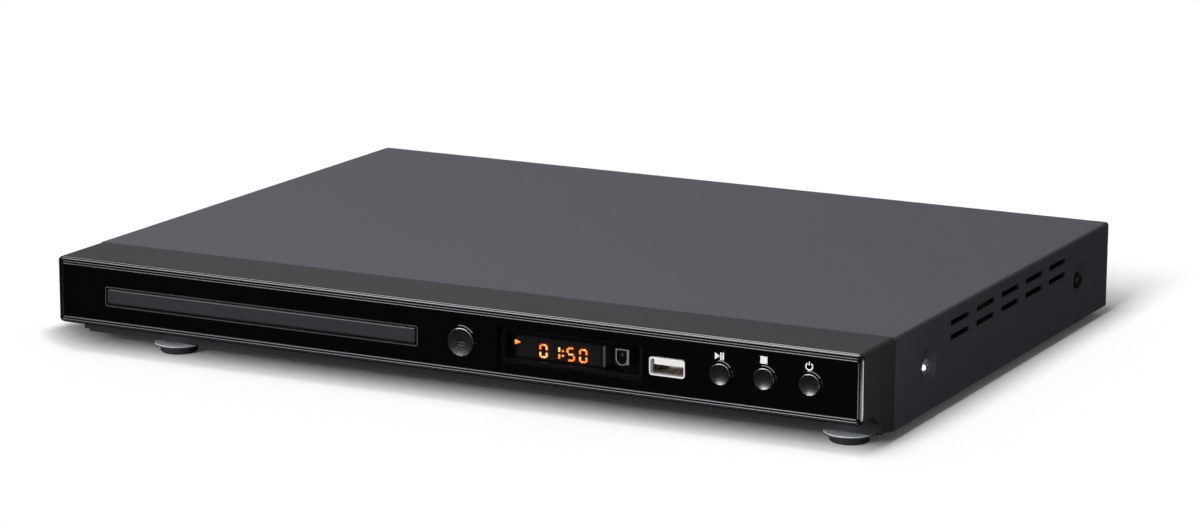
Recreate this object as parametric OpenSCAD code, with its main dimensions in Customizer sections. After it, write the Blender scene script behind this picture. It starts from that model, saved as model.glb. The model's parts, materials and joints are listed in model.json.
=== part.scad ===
// Compact disc player with a motorised tray: a plastic front housing with a gloss
// fascia, a folded steel cover on a steel base pan, and the whole mechanism inside.
// Millimetres. X runs to the right, Y from the front to the back, Z up from the table.

/* [Case] */
// Width of the case over the cover's sides
case_w = 320; // [318:1:400]
// Depth from the front face to the cover's rear edge
case_d = 240; // [236:1:300]
// Height of the case without its feet
case_h = 32.6; // [32.4:0.1:40]
// Thickness of the steel sheet
sheet = 0.8; // [0.6:0.1:1]
// Thickness of the plastic walls
wall = 2; // [1.8:0.1:2.2]
// Radius of the long folds of the cover
fold_r = 1.2; // [1.1:0.1:1.4]
// Distance that the audio sockets stand out behind the cover
jack_out = 8; // [7:0.5:9]
// Gap between neighbouring parts that don't touch
gap = 0.3; // [0.25:0.05:0.35]
// Radial clearance of a shaft that turns or slides in its hole
run = 0.05; // [0.03:0.01:0.08]

/* [Front housing] */
// Depth of the plastic front housing
housing_d = 27.7; // [26.5:0.1:30]
// Height of the front frame
frame_h = 24.7; // [24.5:0.1:24.9]
// Radius of the frame's outer corners
frame_r = 2; // [1.6:0.1:2.2]
// Width of the frame beside and under the gloss panel
frame_lip = 2.4; // [2.3:0.1:2.6]
// Height of the frame above the gloss panel
frame_brow = 3.1; // [3:0.1:3.3]
// Thickness of the gloss panel
panel_t = 2; // [1.6:0.1:2.2]
// Setback of the lower band behind the frame
band_y = 16.5; // [16:0.5:18]
// Rise of the slope under the lower band
belly_h = 1; // [0.8:0.1:1.6]
// Radius of the hollow between the frame and the lower band
band_fillet = 6.7; // [5:0.1:6.9]

/* [Tray] */
// Distance from the case's left side to the middle of the tray
tray_in = 85.75; // [85.5:0.25:90]
// Distance of the tray's middle plane below the cover's top
tray_drop = 12.95; // [12.8:0.05:13]
// Width of the tray door
door_w = 128.7; // [128.6:0.1:129]
// Height of the tray door
door_h = 5.5; // [5.4:0.1:5.6]
// Width of the tray between its rails
tray_w = 124; // [123.8:0.1:124.2]
// Length of the tray behind the door
tray_l = 168; // [166:1:172]
// Thickness of the tray
tray_t = 5.1; // [5:0.1:5.1]
// Radius of the disc well
well_r = 60.5; // [60.3:0.1:60.6]
// Depth of the disc well
well_depth = 2; // [1.6:0.1:2]
// Distance from the front face to the disc's centre
disc_y = 68; // [67.5:0.5:69]
// Half width of the slot that the turntable and the lens reach through
slot_r = 26; // [24:0.5:27]

/* [Loader] */
// Length of the loader chassis
loader_l = 181; // [180:1:190]
// Module of the tray's rack and its pinion
rack_m = 1; // [0.9:0.05:1]
// Lift of the deck's front edge, as an angle
deck_tilt = 3; // [2.8:0.1:3.1]
// Travel of the cam slider
cam_travel = 24; // [22:1:24]
// Travel of the pickup sled
sled_travel = 35; // [30:1:35]
// Radius of the turntable
turntable_r = 14.5; // [13:0.5:15]
// Radius of the round guide rods
rod_r = 1.5; // [1.3:0.1:1.6]

/* [Controls] */
// Diameter of the open button
open_d = 10.3; // [9.5:0.1:10.5]
// Diameter of the three small buttons
button_d = 7.7; // [7:0.1:8]
// Radial gap around a button
button_gap = 0.25; // [0.2:0.05:0.3]
// Travel of a button
button_travel = 0.8; // [0.6:0.1:0.8]
// Distance of the play button from the case's right side
play_in = 52.3; // [51.5:0.1:53]
// Distance of the stop button from the case's right side
stop_in = 36.2; // [35:0.1:38]
// Distance of the power button from the case's right side
power_in = 19.5; // [18.5:0.1:21]

/* [Feet] */
// Height of a foot
foot_h = 3.4; // [3:0.1:5]
// Radius of a foot's metal flange
foot_r = 8.9; // [7.5:0.1:9.2]
// Radius of a foot's rubber pad
pad_r = 6.9; // [6:0.1:7.4]
// Distance of the front feet from the front face
foot_y = 21.8; // [21:0.1:24]
// Distance of the left feet from the case's left side
foot_left = 38; // [30:1:60]
// Distance of the right feet from the case's right side
foot_right = 13.7; // [12:0.1:40]

/* [Hidden] */
$fn = 48;

// Whole case
half_w = case_w / 2;
front_y = -(case_d + jack_out) / 2;      // the front face, in the part's own frame
z_body = foot_h;                         // underside of the case
z_top = foot_h + case_h;                 // top of the cover
pan_top = z_body + sheet;                // upper face of the base pan
lid_z = z_top - sheet;                   // underside of the cover
cover_y = housing_d + 0.05;              // front edge of the cover

// Front housing
edge_r = 1;                              // round on the frame's outer front edge
frame_z = z_top - frame_h / 2;           // middle height of the frame
panel_h = frame_h - frame_brow - frame_lip;
line_z = z_top - frame_brow - panel_h / 2;               // middle height of the panel
panel_y = 0.6;                           // setback of the panel's face
panel_back = panel_y + panel_t;
wall_back = panel_back + wall;           // inner face of the housing's front wall
panel_w = case_w - 2 * frame_lip;
panel_slip = 0.05;                       // clearance round the panel's edge
ledge_w = 1.75;                          // width of the sunk ledge round the panel
step_y = 0.5;                            // depth of that ledge
bead_r = 0.4;                            // radius of the two beads on the ledge
frame_under = z_top - frame_h;           // underside of the frame
fillet_z = frame_under - band_fillet;
belly_l = 5.3;                           // length of the slope under the band
end_slope = [11, 1.9];                   // the same at both ends: its length and its rise
flat_d = band_y - band_fillet;           // depth of the flat under the frame

// Tray opening and tray
tray_x = tray_in - half_w;
tray_mid = z_top - tray_drop;
tray_z = tray_mid - tray_t / 2;
tray_top = tray_z + tray_t;
bezel_z = z_top - 13.1;
bezel_w = door_w + 1.3;                  // clear opening of the bezel
bezel_h = door_h + 1.2;
bezel_t = 0.35;                          // width of the bezel's visible line
door_y = 0.2;
door_t = 3;
tray_y = door_y + door_t;
tray_back = tray_y + tray_l;
tray_skin = 1.2;
well_z = tray_top - well_depth;
well_skin = 0.8;
small_step = 0.6;                        // extra depth of the well for small discs
tray_travel = 138;
rail_w = 2.2;
rail_z = tray_z + 1.5;
rail_t = 2;

// Gears: pressure angle, tooth heights in modules, and backlash
pa = 25;
addendum = 0.85;
dedendum = 1.1;
slack = 0.12;
pinion_teeth = 16;                       // on the tray gear, meshing with the rack
wheel_teeth = 24;                        // on the tray gear, driven by the pulley gear
pulley_teeth = 12;
wheel_m = 0.8;
rack_wall = 1.75;
rack_x = tray_w / 2 - rack_wall - dedendum * rack_m;     // pitch line of the rack
gear_x = rack_x - pinion_teeth * rack_m / 2;
gear_y = 20;
pulley_x = gear_x - (wheel_teeth + pulley_teeth) * wheel_m / 2;
motor_x = -46;
motor_y = 29.2;
motor_r = 10;
post_r = 1.5;

// Loader chassis, in the tray's own X
floor_top = tray_z - 5.7;
floor_z = frame_under + wall + 0.1;      // the floor passes just over the front housing's step
floor_t = floor_top - floor_z;
guide_in = tray_w / 2 + 0.4;             // inner face of the chassis walls
guide_groove = guide_in + rail_w;        // bottom of the rail groove
guide_out = guide_groove + 2;
guide_top = tray_top + 0.6;
loader_y = wall_back + 0.4;
loader_back = loader_y + loader_l;
deck_open = 44;                          // half width of the opening for the deck
leg_x = 54;
leg_y = [46, loader_back - 10];
bridge_z = guide_top + 1.7;
bridge_t = 1;
bridge_y = [disc_y - 14, disc_y + 14];
bridge_screw_y = [disc_y - 8, disc_y + 8];

// Cam slider
slider_y = 35;
slider_t = 2.6;
slider_z = [tray_z - 12.9, tray_z - 1];
slider_wall = slider_y - gap;            // face that the slider runs along
shelf_t = 0.9;

// Deck, hinged at its rear edge
deck_w = 37;
deck_y = [42, 151];
deck_z = [tray_z - 4.9, tray_z - 1.4];
pivot_y = 156;
pivot_z = tray_z - 3.3;
pivot_r = 1.5;
barrel_r = 2.9;
cam_pin_y = slider_y + slider_t / 2;
cam_drop = (pivot_y - cam_pin_y) * sin(deck_tilt);
cam_pin_z = deck_z[0] + 1.2;
rod_z = (deck_z[0] + deck_z[1]) / 2;     // height of the guide rods
bearing_in = deck_w + 1.2;
sled_open = 27.5;                        // half width of the sled's opening
sled_span = [82.5, 145];
rod_x = 24;
sled_y = 83.3;
sled_l = 24;
lens_y = sled_y + 7.7;
sled_rack_m = 0.6;
sled_pinion_teeth = 14;
sled_wheel_m = 0.5;
sled_wheel_teeth = 40;
sled_motor_teeth = 12;
sled_slack = 0.07;
sled_rack_x = 25.1;
sled_gear_x = sled_rack_x + sled_pinion_teeth * sled_rack_m / 2;
sled_gear_y = sled_y + sled_l - 3;
sled_motor_gap = (sled_wheel_teeth + sled_motor_teeth) * sled_wheel_m / 2;
sled_motor_a = 60;                       // bearing of the sled motor from the sled gear
sled_motor_x = sled_gear_x + sled_motor_gap * cos(sled_motor_a);
sled_motor_y = sled_gear_y + sled_motor_gap * sin(sled_motor_a);
sled_motor_r = 6;

// Controls and display on the front
open_x = tray_x + 82.45;
open_z = z_top - 13.3;
button_in = [play_in, stop_in, power_in];
button_z = [z_top - 13, z_top - 12.7, z_top - 12.7];
button_top = 0.1;                        // setback of a button's crown
dish = 0.6;                              // depth of a button's hollow face
rim_r = 0.35;                            // round of a button's rim
ring_w = 0.85;                           // width of the raised ring round a button
ring_h = 0.3;
flange_t = 1;
stem_end = 8;
board_y = 12;                            // front face of the front board
board_t = 1.6;
window_x = tray_x + 124.75;
window_w = 56;
window_h = 13;
window_z = z_top - 12.5;
display_x = tray_x + 118.5;
digit_y = 4.6;
usb_x = half_w - 72.2;
usb_z = z_top - 13;
usb_cut = [14, 7.1];
usb_out = [13.4, 6.4];
usb_in = [12.5, 5.3];

// Side screws and vents
dish_y = [57.5, 210];
dish_drop = 17;
dish_r = 7.7;
dish_floor_r = 4.4;
dish_depth = 2.2;
vent_start = 77.8;
vent_pitch = 24.4;
vent_count = 5;
vent_l = 17.3;
vent_h = 2.05;
vent_drop = [5.65, 10.9];

// Rear
rear_back = case_d - sheet;              // outer face of the rear panel
rear_front = rear_back - sheet;
jack_z = z_body + 12;
jack_pitch = 14;
jack_count = 4;
jack_x = -20;
jack_r = 4.15;
jack_slip = 0.6;                         // clearance of the rear panel's holes round them
hdmi_x = 52;
inlet_x = half_w - 34;
inlet_z = z_body + 13;
lip_h = 8;

// Boards at the rear
post_h = 5;                              // height of the base pan's posts
pcb_z = pan_top + post_h;
main_x = [tray_x + guide_out + 8, half_w - 66];
main_y = [118, rear_front - 6];
power_x = [half_w - 62, half_w - 8];
power_y = [118, rear_front - 14.6];

// ---------------------------------------------------------------- shared shapes

// Stands the case up: Y counts back from the front face
module in_case() {
    translate([0, front_y, 0]) children();
}

// As in_case, with X counted from the middle of the tray
module in_loader() {
    translate([tray_x, front_y, 0]) children();
}

// Rectangle with true round corners
module round_rect(w, h, r) {
    square([w - 2 * r, h], center = true);
    square([w, h - 2 * r], center = true);
    for (x = [-1, 1], y = [-1, 1])
        translate([x * (w / 2 - r), y * (h / 2 - r)]) circle(r = r);
}

// Extrudes an upright X-Z outline from depth y back over t
module upright(y, t) {
    translate([0, y + t, 0]) rotate([90, 0, 0]) linear_extrude(t) children();
}

// Extrudes a Y-Z outline along X, centred
module across(w) {
    translate([-w / 2, 0, 0]) rotate([90, 0, 90]) linear_extrude(w) children();
}

// Cylinder along Y that starts at depth y
module rod_y(y, l, r) {
    translate([0, y + l, 0]) rotate([90, 0, 0]) cylinder(r = r, h = l);
}

// Cone along Y, with its radius at depth y first
module cone_y(y, l, r_front, r_back) {
    translate([0, y + l, 0]) rotate([90, 0, 0]) cylinder(r1 = r_back, r2 = r_front, h = l);
}

// Cylinder along X, from x over l
module rod_x_axis(x, l, r) {
    translate([x, 0, 0]) rotate([0, 90, 0]) cylinder(r = r, h = l);
}

// Sweeps an outline (outward, back) round an upright rectangle with corners of radius r
module frame_sweep(w, h, r) {
    rotate([-90, 0, 0])
        for (i = [0:3]) {
            a = i % 2 == 0 ? w : h;
            b = i % 2 == 0 ? h : w;
            rotate(90 * i) translate([a / 2 - r, b / 2 - r, 0]) {
                rotate_extrude(angle = 90) translate([r, 0]) children();
                rotate([90, 0, 0]) linear_extrude(b - 2 * r) translate([r, 0]) children();
            }
        }
}

// What a round of radius r takes off a front edge
module edge_cut(r) {
    difference() {
        translate([-r, -1]) square([r + 1, r + 1]);
        translate([-r, r]) circle(r = r);
    }
}

// Angle between a tooth's middle and its flank at radius r
function involute(a) = tan(a) * 180 / PI - a;
function flank(teeth, m, play, r) =
    let (rp = teeth * m / 2, rb = rp * cos(pa))
    90 / teeth - play / rp * 90 / PI + involute(pa) - involute(acos(min(1, rb / r)));

// Outline of a spur gear with a tooth on +X
module gear_outline(teeth, m, play) {
    rp = teeth * m / 2;
    tip = rp + addendum * m;
    root = rp - dedendum * m;
    start = max(rp * cos(pa), root + 0.01);
    steps = 4;
    polygon([
        for (i = [0:teeth - 1], side = [-1, 1], k = [0:steps])
            let (
                level = side < 0 ? k : steps - k,
                r = level == 0 ? root : start + (tip - start) * (level - 1) / (steps - 1),
                a = i * 360 / teeth + side * flank(teeth, m, play, max(r, start))
            ) r * [cos(a), sin(a)]
    ]);
}

module gear(teeth, m, z, t, play = slack) {
    translate([0, 0, z]) linear_extrude(t) gear_outline(teeth, m, play);
}

// Straight rack along +Y: teeth point to -X from the pitch line at x = 0
module rack_outline(m, count, play) {
    pitch = PI * m;
    half = pitch / 4 - play / 2;
    for (i = [0:count - 1])
        translate([0, i * pitch])
            polygon([
                [dedendum * m + 0.3, -half - dedendum * m * tan(pa)],
                [dedendum * m, -half - dedendum * m * tan(pa)],
                [-addendum * m, -half + addendum * m * tan(pa)],
                [-addendum * m, half - addendum * m * tan(pa)],
                [dedendum * m, half + dedendum * m * tan(pa)],
                [dedendum * m + 0.3, half + dedendum * m * tan(pa)]
            ]);
}

// Pan-head screw pointing down, its head's seat at z = 0
module screw(shank_r, l, head_r, head_h) {
    difference() {
        union() {
            translate([0, 0, -l]) cylinder(r = shank_r, h = l + 0.1);
            cylinder(r = head_r, h = head_h * 0.6);
            translate([0, 0, head_h * 0.6]) cylinder(r1 = head_r, r2 = head_r * 0.72, h = head_h * 0.4);
        }
        for (a = [0, 90])
            rotate(a) translate([-head_r * 0.55, -head_r * 0.13, head_h * 0.45])
                cube([head_r * 1.1, head_r * 0.26, head_h]);
    }
}

// ---------------------------------------------------------------- casing

// Space in front of the lower band, seen from the side: s outward, z up
module band_outline(grow) {
    difference() {
        translate([-grow, z_body - 1]) square([60, frame_under - z_body + 1 + grow]);
        difference() {
            translate([-grow - 1, fillet_z]) square([band_fillet + grow + 1, band_fillet + grow + 1]);
            translate([band_fillet, fillet_z]) circle(r = band_fillet + grow);
        }
    }
}

// That space, from side to side
module band_space(grow) {
    across(case_w + 2) translate([band_y, 0]) mirror([1, 0]) band_outline(grow);
}

// What the slope under the band takes off, seen from the side
module belly_outline(l, h) {
    polygon([
        [band_y - 1, z_body - 1], [band_y + l, z_body - 1], [band_y + l, z_body],
        [band_y, z_body + h], [band_y - 1, z_body + h]
    ]);
}

module front_hole(x, z, r) {
    translate([x, 0, z]) rod_y(0, wall_back + 1, r);
}

module front_housing() {
    post_r_board = 2.6;
    color([0.16, 0.16, 0.17]) in_case() {
        difference() {
            union() {
                upright(0, housing_d) translate([0, frame_z]) round_rect(case_w, frame_h, frame_r);
                upright(flat_d, housing_d - flat_d)
                    translate([-half_w, z_body]) square([case_w, case_h - 3]);
            }
            band_space(0);
            across(case_w + 2) belly_outline(belly_l, belly_h);
            for (side = [-1, 1]) translate([side * (half_w - (wall - 1) / 2), 0, 0])
                across(wall + 1) belly_outline(end_slope[0], end_slope[1]);
            difference() {
                upright(wall_back, housing_d)
                    translate([wall - half_w, z_body + wall])
                        square([case_w - 2 * wall, case_h - 2 * wall]);
                band_space(wall);
            }
            // round of the frame's front edge, and the ledge round the fascia
            translate([0, 0, frame_z]) frame_sweep(case_w, frame_h, frame_r) edge_cut(edge_r);
            upright(-1, 1 + step_y) translate([0, line_z])
                round_rect(panel_w + 2 * ledge_w, panel_h + 2 * ledge_w, 1.2);
            upright(-1, 1 + panel_back) translate([0, line_z])
                round_rect(panel_w, panel_h, 0.4);
            // tray opening, display opening, socket opening and button holes
            upright(panel_back - 1, wall + 2) translate([tray_x, bezel_z])
                square([bezel_w + 2 * bezel_t + 0.1, bezel_h + 2 * bezel_t + 0.1], center = true);
            upright(panel_back - 1, wall + 2) translate([window_x, window_z])
                square([window_w - 4, window_h - 3], center = true);
            upright(panel_back - 1, wall + 2) translate([usb_x, usb_z])
                square([usb_cut[0] + 1, usb_cut[1] + 1], center = true);
            front_hole(open_x, open_z, open_d / 2 + 0.6);
            for (i = [0:2]) front_hole(half_w - button_in[i], button_z[i], button_d / 2 + 0.6);
            for (i = [0:1]) translate([foot_xy[i][0], foot_xy[i][1], z_body - 1]) cylinder(r = 1.6, h = 4);
        }
        // two beads round the gloss panel
        for (s = [bead_r, bead_r + 0.9]) translate([0, step_y, line_z])
            frame_sweep(panel_w + 2 * s, panel_h + 2 * s, s + 0.1)
                circle(r = bead_r - 0.01, $fn = 24);
        // posts for the front board, with riveted tips
        for (x = board_posts, z = [tray_z - 4.5, tray_z + 8.3]) translate([x, 0, z]) {
            rod_y(wall_back - 0.5, board_y - wall_back + 0.5, post_r_board);
            rod_y(board_y - 0.5, board_t + 1.2, 1.1);
        }
    }
}

board_x = [tray_x + guide_out + 6, half_w - 8];
board_z = [tray_z - 6.4, tray_z + 11];
board_posts = [board_x[0] + 3, half_w - 60.5, board_x[1] - 3.5];

module panel_hole(x, z, r) {
    translate([x, 0, z]) rod_y(panel_y - 1, panel_t + 2, r);
}

// Low ring that stands up round a button's hole, its outside sloped
module panel_ring(x, z, r) {
    translate([x, 0, z]) cone_y(panel_y - ring_h, ring_h + 0.1, r + ring_w - 0.35, r + ring_w);
}

module fascia_panel() {
    color([0.03, 0.03, 0.035]) in_case()
        difference() {
            union() {
                upright(panel_y, panel_t) translate([0, line_z])
                    round_rect(panel_w - 2 * panel_slip, panel_h - 2 * panel_slip, 0.4);
                panel_ring(open_x, open_z, open_d / 2 + button_gap);
                for (i = [0:2])
                    panel_ring(half_w - button_in[i], button_z[i], button_d / 2 + button_gap);
            }
            upright(panel_y - 1, panel_t + 2) translate([tray_x, bezel_z])
                square([bezel_w + 2 * bezel_t + 0.1, bezel_h + 2 * bezel_t + 0.1], center = true);
            upright(panel_y - 1, panel_t + 2) translate([window_x, window_z])
                square([window_w, window_h], center = true);
            upright(panel_y - 1, panel_t + 2) translate([usb_x, usb_z])
                round_rect(usb_cut[0], usb_cut[1], 1.3);
            panel_hole(open_x, open_z, open_d / 2 + button_gap);
            for (i = [0:2])
                panel_hole(half_w - button_in[i], button_z[i], button_d / 2 + button_gap);
        }
}

module display_window() {
    color([0.08, 0.07, 0.07, 0.6]) in_case()
        upright(panel_y, panel_t) translate([window_x, window_z])
            square([window_w, window_h], center = true);
}

module tray_bezel() {
    color([0.35, 0.34, 0.33]) in_case()
        upright(panel_y - 0.25, wall_back - panel_y + 0.25) translate([tray_x, bezel_z])
            difference() {
                round_rect(bezel_w + 2 * bezel_t, bezel_h + 2 * bezel_t, 0.9);
                round_rect(bezel_w, bezel_h, 0.6);
            }
}

// Cone of a screw dish on the right side; grow moves its surface inward
module dish_cone(grow) {
    depth = dish_depth + grow;
    translate([half_w - depth, 0, 0])
        rotate([0, 90, 0]) cylinder(r1 = dish_floor_r, r2 = dish_r, h = depth);
}

module at_dishes() {
    for (side = [0, 1], y = dish_y)
        mirror([side, 0, 0]) translate([0, y, z_top - dish_drop]) children();
}

// U outline of the folded cover
module cover_outline() {
    difference() {
        translate([0, z_top - 20]) round_rect(case_w, 40, fold_r);
        translate([0, z_top - 20 - sheet]) round_rect(case_w - 2 * sheet, 40, max(fold_r - sheet, 0.2));
        translate([-case_w, z_body - 100]) square([2 * case_w, 100]);
    }
}

module top_cover() {
    color([0.33, 0.32, 0.35]) in_case()
        difference() {
            union() {
                upright(cover_y, case_d - cover_y) cover_outline();
                // rear lip over the rear panel
                upright(rear_back, sheet)
                    translate([-half_w + 8, lid_z - lip_h]) square([case_w - 16, lip_h + sheet / 2]);
                at_dishes() dish_cone(sheet);
            }
            at_dishes() {
                translate([0.01, 0, 0]) dish_cone(0);
                rod_x_axis(half_w - 8, 9, side_screw_r + 0.1);
            }
            for (side = [-1, 1], i = [0:vent_count - 1], drop = vent_drop)
                translate([side * half_w - 2, vent_start + i * vent_pitch, z_top - drop - vent_h / 2])
                    cube([4, vent_l, vent_h]);
            for (x = rear_screw_x) translate([x, 0, lid_z - lip_h / 2]) rod_y(rear_back - 1, 4, 1.6);
        }
}

side_screw_r = 1.5;
rear_screw_x = [-half_w + 20, 0, half_w - 20];

// The pan's side tabs, behind the cover's screw dishes
module pan_tab() {
    tab_x = half_w - dish_depth - sheet;
    translate([tab_x - sheet, -7, pan_top - 0.1]) cube([sheet, 14, z_top - dish_drop + 6 - pan_top]);
}

module base_pan() {
    flange_h = 5;
    color([0.62, 0.63, 0.65]) in_case()
        difference() {
            union() {
                translate([-half_w + sheet + 0.1, cover_y, z_body])
                    cube([case_w - 2 * sheet - 0.2, rear_front - cover_y, sheet]);
                // side flanges inside the cover
                for (side = [0, 1]) mirror([side, 0, 0])
                    translate([half_w - 2 * sheet - 0.1, cover_y + 2, z_body])
                        cube([sheet, rear_front - cover_y - 2, flange_h]);
                for (side = [0, 1], y = dish_y) mirror([side, 0, 0]) translate([0, y, 0]) pan_tab();
                // tongues that hook over the front housing's floor
                for (x = [-half_w + 5, main_x[0] - 10, half_w - 40]) translate([x, 0, 0]) {
                    translate([0, cover_y, z_body]) cube([14, sheet, wall + 0.1 + sheet]);
                    translate([0, housing_d - 7, z_body + wall + 0.05]) cube([14, 7 + sheet, sheet]);
                }
                // posts under the boards
                for (p = board_post_xy) translate([p[0], p[1], z_body]) cylinder(r = 3, h = post_h + sheet);
            }
            for (p = board_post_xy) translate([p[0], p[1], z_body - 1]) cylinder(r = 1.3, h = 20);
            for (x = [-1, 1], y = leg_y)
                translate([tray_x + x * leg_x, y, z_body - 1]) cylinder(r = 1.6, h = 4);
            for (side = [0, 1], y = dish_y) mirror([side, 0, 0])
                translate([0, y, z_top - dish_drop]) rod_x_axis(half_w - 12, 12, side_screw_r + 0.05);
            // cooling slots under the power board
            for (i = [0:5]) translate([power_x[0] + 6 + i * 7, power_y[0] + 20, z_body - 1])
                cube([3, 40, 4]);
            for (p = foot_xy) translate([p[0], p[1], z_body - 1]) cylinder(r = 1.6, h = 4);
        }
}

foot_xy = [
    [foot_left - half_w, foot_y], [half_w - foot_right, foot_y],
    [foot_left - half_w, case_d - foot_y], [half_w - foot_right, case_d - foot_y]
];
board_post_xy = [
    [main_x[0] + 4, main_y[0] + 4], [main_x[1] - 4, main_y[0] + 4],
    [main_x[0] + 4, main_y[1] - 24], [main_x[1] - 4, main_y[1] - 24],
    [power_x[0] + 4, power_y[0] + 4], [power_x[1] - 4, power_y[0] + 4],
    [power_x[0] + 4, power_y[1] - 4], [power_x[1] - 4, power_y[1] - 4]
];

module rear_panel() {
    color([0.25, 0.25, 0.26]) in_case()
        difference() {
            union() {
                upright(rear_front, sheet)
                    translate([-half_w + sheet + 0.1, z_body])
                        square([case_w - 2 * sheet - 0.2, case_h - sheet - 0.1]);
                // foot of the panel, lying on the base pan
                translate([-half_w + 12, rear_front - 8, pan_top]) cube([case_w - 24, 8.1, sheet]);
            }
            for (i = [0:jack_count - 1]) translate([jack_x + i * jack_pitch, 0, jack_z])
                rod_y(rear_front - 1, 4, jack_r + jack_slip);
            translate([hdmi_x - 7.7, rear_front - 1, pcb_z + 1.4]) cube([15.4, 4, 6.2]);
            translate([inlet_x - 11.2, rear_front - 1, inlet_z - 8.2]) cube([22.4, 4, 16.4]);
            for (x = rear_screw_x) translate([x, 0, lid_z - lip_h / 2]) rod_y(rear_front - 1, 4, 1.55);
            // air slots
            for (i = [0:9]) translate([-half_w + 24 + i * 8, rear_front - 1, z_body + 8])
                cube([4, 4, 12]);
            // the panel's foot is cut out round the boards' posts
            for (p = board_post_xy) translate([p[0], p[1], z_body]) cylinder(r = 3.4, h = 10);
        }
}

// Screw that enters the right side of the case, head in its dish
module side_screw() {
    translate([half_w - dish_depth + 0.01, 0, 0]) rotate([0, 90, 0])
        screw(side_screw_r, 8, 3.1, 2);
}

module side_screws() {
    color([0.8, 0.8, 0.82]) in_case()
        for (side = [0, 1]) mirror([side, 0, 0])
            translate([0, dish_y[0], z_top - dish_drop]) side_screw();
}

module rear_side_screws() {
    color([0.08, 0.08, 0.09]) in_case()
        for (side = [0, 1]) mirror([side, 0, 0])
            translate([0, dish_y[1], z_top - dish_drop]) side_screw();
}

module rear_screws() {
    color([0.08, 0.08, 0.09]) in_case()
        for (x = rear_screw_x) translate([x, case_d, lid_z - lip_h / 2]) rotate([-90, 0, 0])
            screw(1.5, 7, 2.8, 1.8);
}

module foot_flanges() {
    flange_h = 0.7;
    color([0.75, 0.77, 0.82]) in_case()
        for (p = foot_xy) translate([p[0], p[1], z_body - flange_h]) {
            cylinder(r = foot_r, h = flange_h - 0.2);
            translate([0, 0, flange_h - 0.2]) cylinder(r1 = foot_r, r2 = foot_r - 0.2, h = 0.2);
            cylinder(r = 1.5, h = flange_h + sheet);
        }
}

module foot_pads() {
    flange_h = 0.7;
    color([0.07, 0.07, 0.07]) in_case()
        for (p = foot_xy) translate([p[0], p[1], 0]) {
            cylinder(r1 = pad_r - 0.5, r2 = pad_r, h = 0.5);
            translate([0, 0, 0.5]) cylinder(r = pad_r, h = foot_h - flange_h - 0.5);
        }
}

// ---------------------------------------------------------------- controls

// Push button: hollow face with a round rim, flange behind the wall, stem to its switch
module push_button(x, z, d) {
    r = d / 2;
    rim = r - rim_r;
    dish_r = (rim * rim + dish * dish) / (2 * dish);
    skirt = wall_back + gap;
    translate([x, 0, z]) rotate([-90, 0, 0]) rotate_extrude() {
        difference() {
            translate([0, button_top]) union() {
                square([rim, skirt - button_top]);
                translate([0, rim_r]) square([r, skirt - button_top - rim_r]);
                translate([rim, rim_r]) circle(r = rim_r, $fn = 24);
            }
            translate([0, button_top + dish - dish_r]) circle(r = dish_r, $fn = 96);
            translate([-r, button_top - 1]) square([r, 2 * skirt]);
        }
        translate([0, skirt]) square([r + 1.2, flange_t]);
        translate([0, skirt]) square([1.5, stem_end - skirt]);
    }
}

module open_button() {
    mark_y = button_top + dish + 0.3;
    color([0.2, 0.2, 0.22]) in_case()
        difference() {
            push_button(open_x, open_z, open_d);
            // eject mark sunk into the face
            translate([open_x, 0, open_z]) {
                upright(-1, mark_y + 1) polygon([[-1.5, -0.2], [1.5, -0.2], [0, 2.2]]);
                upright(-1, mark_y + 1) translate([-1.5, -1.2]) square([3, 0.55]);
            }
        }
}

module small_button(i) {
    color([0.2, 0.2, 0.22]) in_case()
        push_button(half_w - button_in[i], button_z[i], button_d);
}

module play_button() { small_button(0); }
module stop_button() { small_button(1); }
module power_button() { small_button(2); }

switch_xz = [
    [open_x, open_z],
    for (i = [0:2]) [half_w - button_in[i], button_z[i]]
];

module front_board() {
    color([0.1, 0.25, 0.12]) in_case()
        difference() {
            upright(board_y, board_t)
                translate([board_x[0], board_z[0]])
                    square([board_x[1] - board_x[0], board_z[1] - board_z[0]]);
            for (x = board_posts, z = [tray_z - 4.5, tray_z + 8.3]) translate([x, 0, z])
                rod_y(board_y - 1, board_t + 2, 1.15);
        }
}

module tact_switches() {
    plunger_y = stem_end + button_travel + 0.1;
    color([0.3, 0.3, 0.32]) in_case()
        for (p = switch_xz) translate([p[0], 0, p[1]]) {
            upright(plunger_y + 0.6, board_y - plunger_y - 0.6) square([6, 6], center = true);
            rod_y(plunger_y, 0.7, 1.7);
        }
}

module display_module() {
    module_y = digit_y + 0.5;
    color([0.06, 0.06, 0.07]) in_case()
        difference() {
            upright(module_y, board_y - module_y) translate([display_x, z_top - 13])
                square([36, 9.6], center = true);
            // light wells behind the segments
            upright(module_y - 1, 1.4) translate([display_x, z_top - 13]) square([33, 7.6], center = true);
        }
}

// One seven-segment figure, w wide and h high; on lists the lit segments a to g
module figure(w, h, on) {
    t = 0.56;
    bar = w - 2.3 * t;
    rise = h / 2 - 1.8 * t;
    if (on[0]) translate([0, h / 2 - t / 2]) square([bar, t], center = true);
    if (on[1]) translate([w / 2 - t / 2, h / 4]) square([t, rise], center = true);
    if (on[2]) translate([w / 2 - t / 2, -h / 4]) square([t, rise], center = true);
    if (on[3]) translate([0, -h / 2 + t / 2]) square([bar, t], center = true);
    if (on[4]) translate([-w / 2 + t / 2, -h / 4]) square([t, rise], center = true);
    if (on[5]) translate([-w / 2 + t / 2, h / 4]) square([t, rise], center = true);
    if (on[6]) square([bar, t], center = true);
}

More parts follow.
